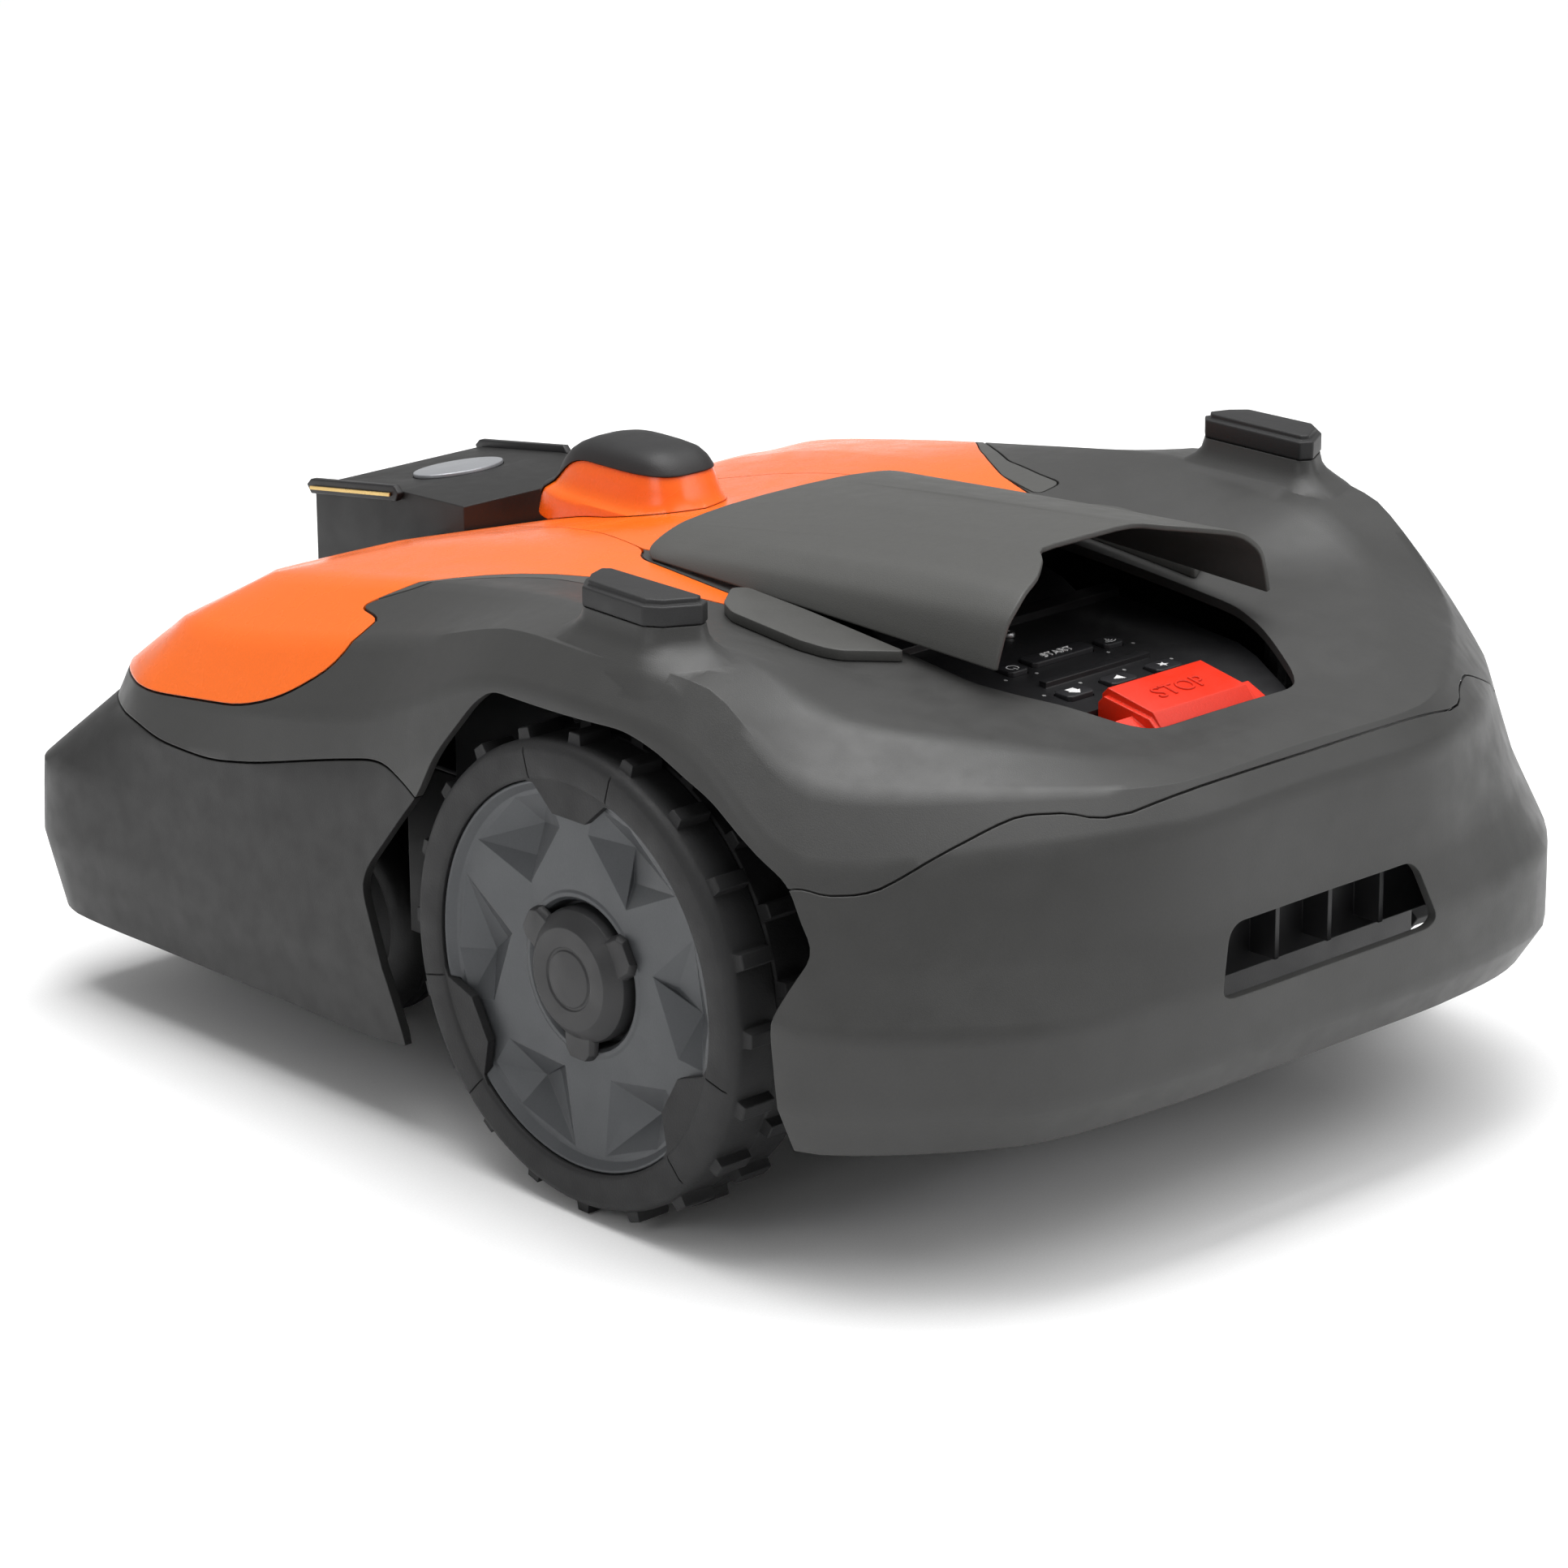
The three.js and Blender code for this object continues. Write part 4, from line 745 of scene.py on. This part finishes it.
def make_bumper(ring):
    """The rear bumper with its intake slot."""
    bumper = combine(ring, bumper_zone(0), "INTERSECT")
    combine(bumper, ARCHES)
    combine(bumper, prism(rounded_outline(SLOT, 5), 330, HIGH, "y"))
    finish_piece(keep_largest(bumper), "bumper_shell", "cover", "body_grey", ["rear_bumper"])


def make_panels():
    """The orange panels and grey inlays in the skin, and the step trims that lie on it."""
    skin = combine(copy_of(BODY), UNDER_SKIN, keep=True)
    centre = combine(copy_of(skin), prism(CENTRE_FINE, 0, HIGH), "INTERSECT")
    combine(centre, nose_cut())
    keep_largest(centre)
    finish_piece(centre, "centre_panel_fine", "cover", "orange", ["orange_centre_panel"])
    arm = combine(copy_of(skin), arm_zone(ARM_FINE, 0), "INTERSECT")
    combine(arm, nose_cut())
    inlay = combine(skin, prism(INLAY_FINE, 0, HIGH), "INTERSECT")
    combine(inlay, prism(grown(ARM_FINE, GAP), 0, HIGH))
    layer = combine(body_solid(-6), body_solid(-GAP))
    trim = combine(layer, prism(rounded_outline(STEP_TRIM, 4), 200, HIGH), "INTERSECT")
    round_edges(keep_largest(trim), 1.0, 2, 40)
    finish_sides(keep_largest(arm), "orange_arm_")
    finish_sides(keep_largest(inlay), "arm_inlay_")
    finish_sides(trim, "step_trim_")


def make_shells():
    make_cover()
    ring = combine(copy_of(BODY), INSIDE, keep=True)
    make_skirts(ring)
    make_bumper(ring)
    make_panels()
    for spare in (BODY, UNDER_SKIN, UNDER_SKIN_CLEAR, INSIDE):
        bpy.data.objects.remove(spare)


# ------------------------------------------------------------------ drive wheels
AXLE_Y, AXLE_Z, FACE, BACK = 108, 131, 282, 222
WHEEL_RADIUS, LUG_HEIGHT, RIM_RADIUS = 125, 6, 104
LUGS_PER_ROW, LUG_LENGTH = 20, 21
THIRDS = (0, 120, 240)  # the wheel's pattern repeats three times
POCKET = ((78, 23), (96.5, 19), (97.5, 3), (96.5, -23), (54, -13))  # radius, degrees


def polar(radius, degrees):
    """A point on a circle round the origin."""
    return (radius * math.cos(math.radians(degrees)), radius * math.sin(math.radians(degrees)))


def turned(profile, segments=96, centre=(0, AXLE_Y, AXLE_Z)):
    """A closed ring or disc about a sideways axle, from a profile of (radius, x)."""
    points, rings = [], []
    for radius, x in profile:
        ring = []
        for i in range(segments if radius else 1):
            angle = 2 * math.pi * i / segments
            ring.append(len(points))
            y, z = radius * math.cos(angle), radius * math.sin(angle)
            points.append((centre[0] + x, centre[1] + y, centre[2] + z))
        rings.append(ring)
    faces = []
    pairs = list(zip(rings, rings[1:])) + ([(rings[-1], rings[0])] if profile[0][0] else [])
    for a, b in pairs:
        for i in range(segments):
            quad = (a[i % len(a)], a[(i + 1) % len(a)], b[(i + 1) % len(b)], b[i % len(b)])
            quad = tuple(dict.fromkeys(quad))
            if len(quad) > 2:
                faces.append(quad)
    return tidy(new_object("turned", points, faces))


def about_axle(item, degrees):
    """Turns a piece about the drive wheel's axle."""
    centre = Vector((0, AXLE_Y, AXLE_Z)) * MM
    turn = Matrix.Rotation(math.radians(degrees), 4, "X")
    item.data.transform(Matrix.Translation(centre) @ turn @ Matrix.Translation(-centre))
    return item


def rim_pocket(centre, turn):
    """An off-centre sunken facet group between two spokes; turn is 1 or its mirror, -1."""
    outline = [polar(radius, centre + turn * angle) for radius, angle in POCKET]
    floor_a, floor_b = polar(81, centre + turn * 4), polar(66, centre - turn * 3.5)
    points = [(FACE + 6, AXLE_Y + y, AXLE_Z + z) for y, z in outline]
    points += [(FACE - 7.6, AXLE_Y + y, AXLE_Z + z) for y, z in outline]
    points += [(FACE - 19, AXLE_Y + floor_a[0], AXLE_Z + floor_a[1])]
    points += [(FACE - 15.5, AXLE_Y + floor_b[0], AXLE_Z + floor_b[1])]
    faces = [(0, 1, 2, 3, 4)]
    faces += [(i, (i + 1) % 5, (i + 1) % 5 + 5, i + 5) for i in range(5)]
    faces += [(5, 6, 10), (6, 7, 10), (7, 8, 10), (8, 11, 10), (8, 9, 11), (9, 5, 10), (9, 10, 11)]
    return tidy(new_object("pocket", points, faces))


def tab_solid(extra):
    """A tab that the tyre lays over the rim; extra gives the room that the rim leaves for it."""
    outline = [
        (-34, 99), (-27.5 - extra, 99), (-12.5 - extra, 86 - extra), (12.5 + extra, 86 - extra),
        (27.5 + extra, 99), (34, 99), (33, 112), (-33, 112),
    ]
    placed = [(AXLE_Y + along, AXLE_Z + radius) for along, radius in outline]
    return prism(placed, FACE - 6 - extra * 2, FACE - 1.2 + extra * 20, "x")


def tread_lug(low):
    """One lug, from its root up to its narrower top; low is where it starts sideways."""
    crown, high = AXLE_Z + WHEEL_RADIUS, low + LUG_LENGTH
    levels = (  # half its width, how much longer it is at each end, height
        (5.6, 0.8, crown - 3), (4.5, 0, crown + 0.6),
        (3.9, -0.3, crown + LUG_HEIGHT - 0.7), (3.3, -0.9, crown + LUG_HEIGHT - 0.25),
    )
    return loft([
        [
            (low - more, AXLE_Y - half, z), (high + more, AXLE_Y - half, z),
            (high + more, AXLE_Y + half, z), (low - more, AXLE_Y + half, z),
        ]
        for half, more, z in levels
    ])


def make_tread():
    """Two staggered rows of lugs in one solid."""
    lugs = None
    for i in range(LUGS_PER_ROW):
        for row, low in ((0, FACE - 27), (0.5, BACK + 8)):
            lug = about_axle(tread_lug(low), (i + row) * 360 / LUGS_PER_ROW)
            lugs = lug if lugs is None else combine(lugs, lug, "UNION")
    return lugs


def make_tyre():
    """The tyre: a ring with three tabs over the rim, each between two seams, and its lugs."""
    tyre = turned([
        (RIM_RADIUS + GAP, BACK), (RIM_RADIUS + GAP, FACE - 1.6), (RIM_RADIUS + 1.4, FACE - 0.6),
        (107, FACE), (119, FACE), (121.6, FACE - 0.9), (123.8, FACE - 3), (WHEEL_RADIUS, FACE - 6),
        (WHEEL_RADIUS, FACE - 28.5), (WHEEL_RADIUS - 1.2, FACE - 30), (WHEEL_RADIUS, FACE - 31.5),
        (WHEEL_RADIUS, BACK + 6), (123.8, BACK + 3), (120, BACK),
    ])
    seam_low = (FACE - 1.1, AXLE_Y - 0.45, AXLE_Z + 98)
    seam_high = (FACE + 1, AXLE_Y + 0.45, AXLE_Z + 123)
    for angle in THIRDS:
        combine(tyre, about_axle(tab_solid(0), angle), "UNION")
        for edge in (-1, 1):
            combine(tyre, about_axle(block(seam_low, seam_high), angle + edge * 16.2))
    return combine(tyre, make_tread(), "UNION")


def make_rim():
    """The rim, with three pairs of mirrored pockets between its spokes."""
    rim = turned([
        (0, BACK + 20), (30, BACK + 20), (36, BACK + 30), (92, BACK + 30), (96, BACK + 2),
        (RIM_RADIUS, BACK + 2), (RIM_RADIUS, FACE - 3.4), (103.2, FACE - 2.8), (102.2, FACE - 3),
        (98.6, FACE - 7.2), (97, FACE - 7.6), (45, FACE - 9.2), (43.4, FACE - 8.6),
        (41.4, FACE - 8.6), (39.6, FACE - 10.4), (38.2, FACE - 19), (37.4, FACE - 20), (0, FACE - 20),
    ])
    for angle in THIRDS:
        combine(rim, about_axle(tab_solid(GAP), angle))
        for centre, turn in ((63 + angle, 1), (3 + angle, -1)):
            combine(rim, rim_pocket(centre, turn))
    return round_edges(rim, 0.7, 2, 24)


def make_hub_cap():
    """The hub cap, with a ring groove and three fins."""
    cap = turned([
        (0, FACE - 19.6), (36, FACE - 19.6), (36, FACE - 9), (35, FACE - 6), (30.5, FACE - 1.6),
        (28.6, FACE + 0.3), (27.2, FACE + 1), (17.2, FACE + 1), (16.7, FACE + 0.3),
        (15.3, FACE + 0.3), (14.8, FACE + 1), (0, FACE + 1),
    ])
    fin = ((-12, 20), (12, 20), (10.5, 41), (6.5, 45), (-6.5, 45), (-10.5, 41))
    for angle in THIRDS:
        rings = []
        for share, x in ((1.08, FACE - 8.9), (1, FACE - 6.4), (0.84, FACE - 4.4)):
            rings.append([
                (x, AXLE_Y + a * share, AXLE_Z + r * (1 if r < 25 else 0.97 + 0.03 * share))
                for a, r in fin
            ])
        combine(cap, about_axle(loft(rings), angle - 60), "UNION")
    return round_edges(cap, 0.8, 2, 30)


def make_drive_wheels():
    tyre, rim, cap = make_tyre(), make_rim(), make_hub_cap()
    finish_sides(tyre, "tyre_", smooth=26)
    finish_sides(rim, "rim_", smooth=9)
    finish_sides(cap, "hub_cap_", smooth=26)


# ------------------------------------------------------------------ casters
CASTER_HALF = 19
CASTER_PROFILE = (  # radius and sideways place, from one side of the hub over the tread
    (6, -CASTER_HALF + 6), (18, -CASTER_HALF + 6), (20, -CASTER_HALF + 2), (24, -CASTER_HALF + 2),
    (40, -CASTER_HALF + 6), (44, -CASTER_HALF + 1), (46, -CASTER_HALF), (54, -CASTER_HALF),
    (58, -CASTER_HALF + 1.5), (60.6, -CASTER_HALF + 5), (61.6, -CASTER_HALF + 9),
    (62, -6), (61, -5), (61, -3.6), (62, -2.6), (62, 2.6), (61, 3.6), (61, 5), (62, 6),
    (61.6, CASTER_HALF - 9), (60.6, CASTER_HALF - 5), (58, CASTER_HALF - 1.5), (54, CASTER_HALF),
    (46, CASTER_HALF), (44, CASTER_HALF - 1), (40, CASTER_HALF - 6), (24, CASTER_HALF - 2),
    (20, CASTER_HALF - 2), (18, CASTER_HALF - 6), (6, CASTER_HALF - 6),
)


def make_casters():
    """The caster wheels, each turned about the middle of its CAD wheel."""
    for side, _ in SIDES:
        name = "caster_wheel_" + side
        low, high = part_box(name)
        item = turned(CASTER_PROFILE, 72, tuple((low + high) / 2 / MM))
        finish_piece(item, name + "_fine", "roller_" + side, SLOT_OF[name], [name])


# ------------------------------------------------------------------ dome
DOME_RINGS = [  # half width, front, rear, height
    (38, -219, -86, 266), (36.5, -216, -90, 279), (35.6, -214.5, -91, 281.5), (33, -212, -95, 283),
    (31, -208, -98, 285), (29.4, -205, -101, 289), (28.4, -202.5, -103, 294), (27.2, -199.5, -105, 299),
    (25.6, -195, -107.5, 304), (23.6, -189, -110.5, 308), (20.4, -181, -115, 311.6), (15, -171, -121, 314.2),
    (8, -160, -129, 315),
]
CAP_ZONE = [
    (-240, 275), (-209, 275), (-203, 284), (-184, 300), (-172, 303.5), (-100, 303.5),
    (-100, 330), (-240, 330),
]
DOME_SEGMENTS, DOME_SQUARENESS = 64, 0.62


def dome_solid(extra):
    """The dome's whole form, larger all round by extra."""
    rings = []
    for half_width, front, rear, z in DOME_RINGS:
        middle, half_length = (front + rear) / 2, (rear - front) / 2 + extra
        ring = []
        for i in range(DOME_SEGMENTS):
            angle = 2 * math.pi * i / DOME_SEGMENTS
            x, y = (
                math.copysign(abs(v) ** DOME_SQUARENESS, v) for v in (math.cos(angle), math.sin(angle))
            )
            ring.append((x * (half_width + extra), middle + y * half_length, z + extra))
        rings.append(ring)
    return loft(rings)


def make_dome():
    """The orange foot of the dome and its black cap."""
    above = body_solid(-GAP)
    dome = combine(dome_solid(0), above, keep=True)
    combine(dome, prism(grown(rounded_outline(CAP_ZONE, 7), GAP), -61, 61, "x"))
    finish_piece(keep_largest(dome), "dome_fine", "cover", "orange", ["receiver_dome"], smooth=40)
    cap = combine(dome_solid(0.8), above)
    combine(cap, prism(rounded_outline(CAP_ZONE, 7), -60, 60, "x"), "INTERSECT")
    round_edges(keep_largest(cap), 0.8, 2, 40)
    finish_piece(cap, "dome_cap_fine", "cover", "black_rubber", ["receiver_dome_cap"], smooth=40)


# ------------------------------------------------------------------ hatch
HATCH_LINES = [  # middle to lower edge: x, y, z at the front and at the rear
    ((0, -32, 309), (0, 199, 330)), ((24, -32, 308.8), (33, 199.5, 329.6)),
    ((50, -32, 307.8), (46, 212, 328.6)), ((74, -31.6, 305.6), (64, 226, 326.2)),
    ((85, -31, 303.4), (80, 233, 322.6)), ((94, -30.4, 300.6), (89, 235.5, 317)),
    ((102, -29, 297.4), (96.5, 236, 309)), ((106, -26, 295), (101, 235.6, 297)),
    ((108, -22, 292.6), (104, 235, 286)),
]
HATCH_STEPS, HATCH_THICKNESS, HATCH_CROWN = 28, 3.2, 1.6


def hatch_rows():
    """The hatch's outer face as rows of points from edge to edge, front to rear."""
    half = []
    for front, rear in HATCH_LINES:
        line = []
        for s in range(HATCH_STEPS + 1):
            t = s / HATCH_STEPS
            p = Vector(front).lerp(Vector(rear), t)
            p.z += HATCH_CROWN * math.sin(math.pi * t) * (1 - abs(p.x) / 140)
            line.append(p)
        half.append(line)
    rows = []
    for s in range(HATCH_STEPS + 1):
        row = [line[s] for line in half]
        row = refine(row, flipped(row[1]), row[-1] * 2 - row[-2], 0.9, 3)
        rows.append([flipped(p) for p in reversed(row[1:])] + row)
    return rows


def make_hatch():
    """The hatch: a crowned sheet of one thickness, closed round its rim."""
    rows = hatch_rows()
    width = len(rows[0])
    outer, inner = [], []
    for row in rows:
        outer += row
        for i, p in enumerate(row):
            along = row[min(width - 1, i + 1)] - row[max(0, i - 1)]
            depth = HATCH_THICKNESS if along.x > 0 else -HATCH_THICKNESS
            inner.append(p + Vector((along.z, 0, -along.x)).normalized() * depth)
    count = len(outer)
    faces = []
    for s in range(HATCH_STEPS):
        for i in range(width - 1):
            a = s * width + i
            faces.append((a, a + 1, a + 1 + width, a + width))
            faces.append((a + count, a + width + count, a + 1 + width + count, a + 1 + count))
    rim = list(range(width))
    rim += [s * width + width - 1 for s in range(1, HATCH_STEPS + 1)]
    rim += [HATCH_STEPS * width + i for i in range(width - 2, -1, -1)]
    rim += [s * width for s in range(HATCH_STEPS - 1, 0, -1)]
    faces += [(a, b, b + count, a + count) for a, b in zip(rim, rim[1:] + rim[:1])]
    item = tidy(new_object("hatch", outer + inner, faces))
    round_edges(item, 0.9, 3, 50)
    finish_piece(item, "hatch_fine", "hatch_lid", "light_grey", ["hatch"], smooth=42)


# ------------------------------------------------------------------ keypad marks
PLATE_LEVEL, PLATE_SLOPE, PLATE_Y = 258.5, 0.0875, 182
MARK_LIFT = 0.12
LIGHTS = ((48, 188), (27, 190), (-27, 190), (-48, 188), (47, 215), (18, 213), (-15, 213), (-48, 216))
WORDS = (  # word, node, body, x and y, letter height, lift over the top, tilt, slot, material
    ("START", "key_start", "keycap_start", (0, 178), 5.6, 0.1, 0, "key_black", "glyph_white"),
    ("STOP", "stop_button", "stop", (0, 267), 11.5, -3.1, 10.6, "stop_red", "stop_red"),
)
WORD_SIZE, WORD_DEPTH = 1.35, 0.0005  # type size for each unit of letter height, half depth
SCREW_Y = 142


def plate_height(y):
    """The sloping keypad's height at a place along the machine."""
    return PLATE_LEVEL - PLATE_SLOPE * (y - PLATE_Y)


def flat_mark(name, shapes, height, body, slot, material="glyph_white"):
    """Thin printed shapes lying just over a key or the keypad."""
    points, faces = [], []
    for outline in shapes:
        start = len(points)
        points += [(x, y, height(y) + MARK_LIFT) for x, y in outline]
        faces.append(tuple(range(start, start + len(outline))))
    item = new_object(name, points, faces)
    work = bmesh.new()
    work.from_mesh(item.data)
    bmesh.ops.recalc_face_normals(work, faces=work.faces)
    for face in work.faces:
        if face.normal.z < 0:
            face.normal_flip()
    work.to_mesh(item.data)
    work.free()
    return finish_piece(item, name, body, slot, material=material)


def arc(x, y, radius, width, first, last, steps=14):
    """A band along a circle, between two angles in degrees."""
    def edge(reach, order):
        turns = (polar(reach, first + (last - first) * i / steps) for i in order)
        return [(x + a, y + b) for a, b in turns]

    return edge(radius, range(steps + 1)) + edge(radius - width, range(steps, -1, -1))


def bar(x, y, width, depth):
    """A rectangle about its middle."""
    return [(x - width / 2, y - depth / 2), (x + width / 2, y - depth / 2),
            (x + width / 2, y + depth / 2), (x - width / 2, y + depth / 2)]


def make_marks():
    """Generic symbols on the keys, and the keypad's status lights."""
    def top_of(node):
        return lambda y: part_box(node)[1].z / MM

    star = []
    for i in range(10):
        angle, radius = math.pi / 2 + math.pi * i / 5, 3.6 if i % 2 == 0 else 1.5
        star.append((-34 + radius * math.cos(angle), 223 + radius * math.sin(angle)))
    marks = {
        "power": [arc(36, 181, 3.6, 0.7, 120, 420), bar(36, 183.4, 0.7, 3.4)],
        "wireless": [arc(-36, 179, r, 0.7, 45, 135) for r in (2.2, 4, 5.8)] + [bar(-36, 179, 1, 1)],
        "home": [[(28.6, 223), (33, 227.6), (37.4, 223)], bar(33, 221, 6, 4)],
        "play": [[(-2.6, 219.6), (3.4, 223), (-2.6, 226.4)]],
        "star": [star],
    }
    for key, shapes in marks.items():
        flat_mark("mark_" + key, shapes, top_of("key_" + key), "keycap_" + key, "key_black")
    dots = [arc(x, y, 1.1, 1.09, 0, 350, 10) for x, y in LIGHTS]
    flat_mark("status_lights", dots, plate_height, "chassis", "black_plastic", "lens_grey")


def make_words():
    """The generic legends on the start key and the stop button."""
    for word, node, body, (x, y), high, lift, tilt, slot, material in WORDS:
        name = "word_" + word.lower()
        data = bpy.data.curves.new(name, "FONT")
        data.body = word
        data.size = high * MM * WORD_SIZE
        data.extrude = WORD_DEPTH
        data.align_x = data.align_y = "CENTER"
        item = bpy.data.objects.new(name, data)
        bpy.context.collection.objects.link(item)
        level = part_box(node)[1].z + lift * MM
        item.matrix_world = (
            Matrix.Translation((x * MM, y * MM, level))
            @ Matrix.Rotation(-math.radians(tilt), 4, "X") @ Matrix.Rotation(math.pi, 4, "Z")
        )
        graph = bpy.context.evaluated_depsgraph_get()
        mesh = bpy.data.meshes.new_from_object(item.evaluated_get(graph))
        mesh.transform(item.matrix_world)
        bpy.data.objects.remove(item)
        solid = bpy.data.objects.new(name, mesh)
        bpy.context.collection.objects.link(solid)
        finish_piece(solid, solid.name, body, slot, material=material)


def make_slot_shade_sheet():
    """Black sheet behind the bumper's slot, with upright ribs: painted shade that makes the slot's inside
    dark.
    """
    shade_sheet = block((-118, 336, 132), (118, 338.5, 184))
    for x in (-60, -20, 20, 60):
        combine(shade_sheet, block((x - 1.5, 338, 141), (x + 1.5, 356, 174)), "UNION")
    finish_piece(shade_sheet, "slot_shade_sheet", "cover", "black_plastic")


def make_wheel_wells():
    """Dark inner walls between the wheel openings and the middle of the machine."""
    inside = body_solid(WALL + GAP)
    wall = block((206, -70, 177), (208, 276, 330))
    combine(wall, inside, "INTERSECT")
    keep_largest(wall)
    for side, sign in SIDES:
        piece = copy_of(wall) if sign > 0 else mirrored(wall)
        finish_piece(piece, "wheel_well_" + side, "cover", "black_plastic")
    bpy.data.objects.remove(wall)


def make_screw():
    """The cross-head screw that holds the keypad."""
    base = plate_height(SCREW_Y)
    rings = []
    for radius, z in ((3.9, 0), (3.9, 1.4), (3.2, 2.3), (1.6, 2.8)):
        turns = [2 * math.pi * i / 32 for i in range(32)]
        rings.append([
            (radius * math.cos(turn), SCREW_Y + radius * math.sin(turn), base + z) for turn in turns
        ])
    head = loft(rings)
    for wide, deep in ((4.4, 0.9), (0.9, 4.4)):
        low = (-wide / 2, SCREW_Y - deep / 2, base + 1.4)
        high = (wide / 2, SCREW_Y + deep / 2, base + 5)
        combine(head, block(low, high))
    finish_piece(head, "keypad_screw", "chassis", "steel")


make_stage()
make_shells()
make_drive_wheels()
make_casters()
make_dome()
make_hatch()
make_marks()
make_words()
# Painted shade: a black sheet darkens the inside of the bumper's slot.
make_slot_shade_sheet()
make_wheel_wells()
make_screw()

# ------------------------------------------------------------------ small pieces from the CAD shapes
for node, width in {
    "rest_pad_left": 1.2, "rest_pad_right": 1.2, "nose_module": 2.2, "nose_badge_plate": 0.5,
    "contact_bracket_left": 0.9, "contact_bracket_right": 0.9, "stop_button": 2.4,
    "control_console": 0.7, "display_unit": 1.2, "chassis_tub": 1.2, "chassis_lid": 0.8,
    "battery_pack": 2.5, "control_board_box": 2.5, "cutting_disc": 0.6, "cutting_motor": 0.8,
    "skid_plate": 0.6, "caster_fork_left": 1.0, "caster_fork_right": 1.0,
    "key_power": 0.7, "key_start": 0.7, "key_wireless": 0.7, "key_home": 0.7,
    "key_play": 0.7, "key_star": 0.7,
}.items():
    fine_node(node, width)

for node, item in frame["nodes"].items():
    if not item.hide_render:
        item.data.materials.clear()
        item.data.materials.append(MATERIALS[SLOT_OF[node]])
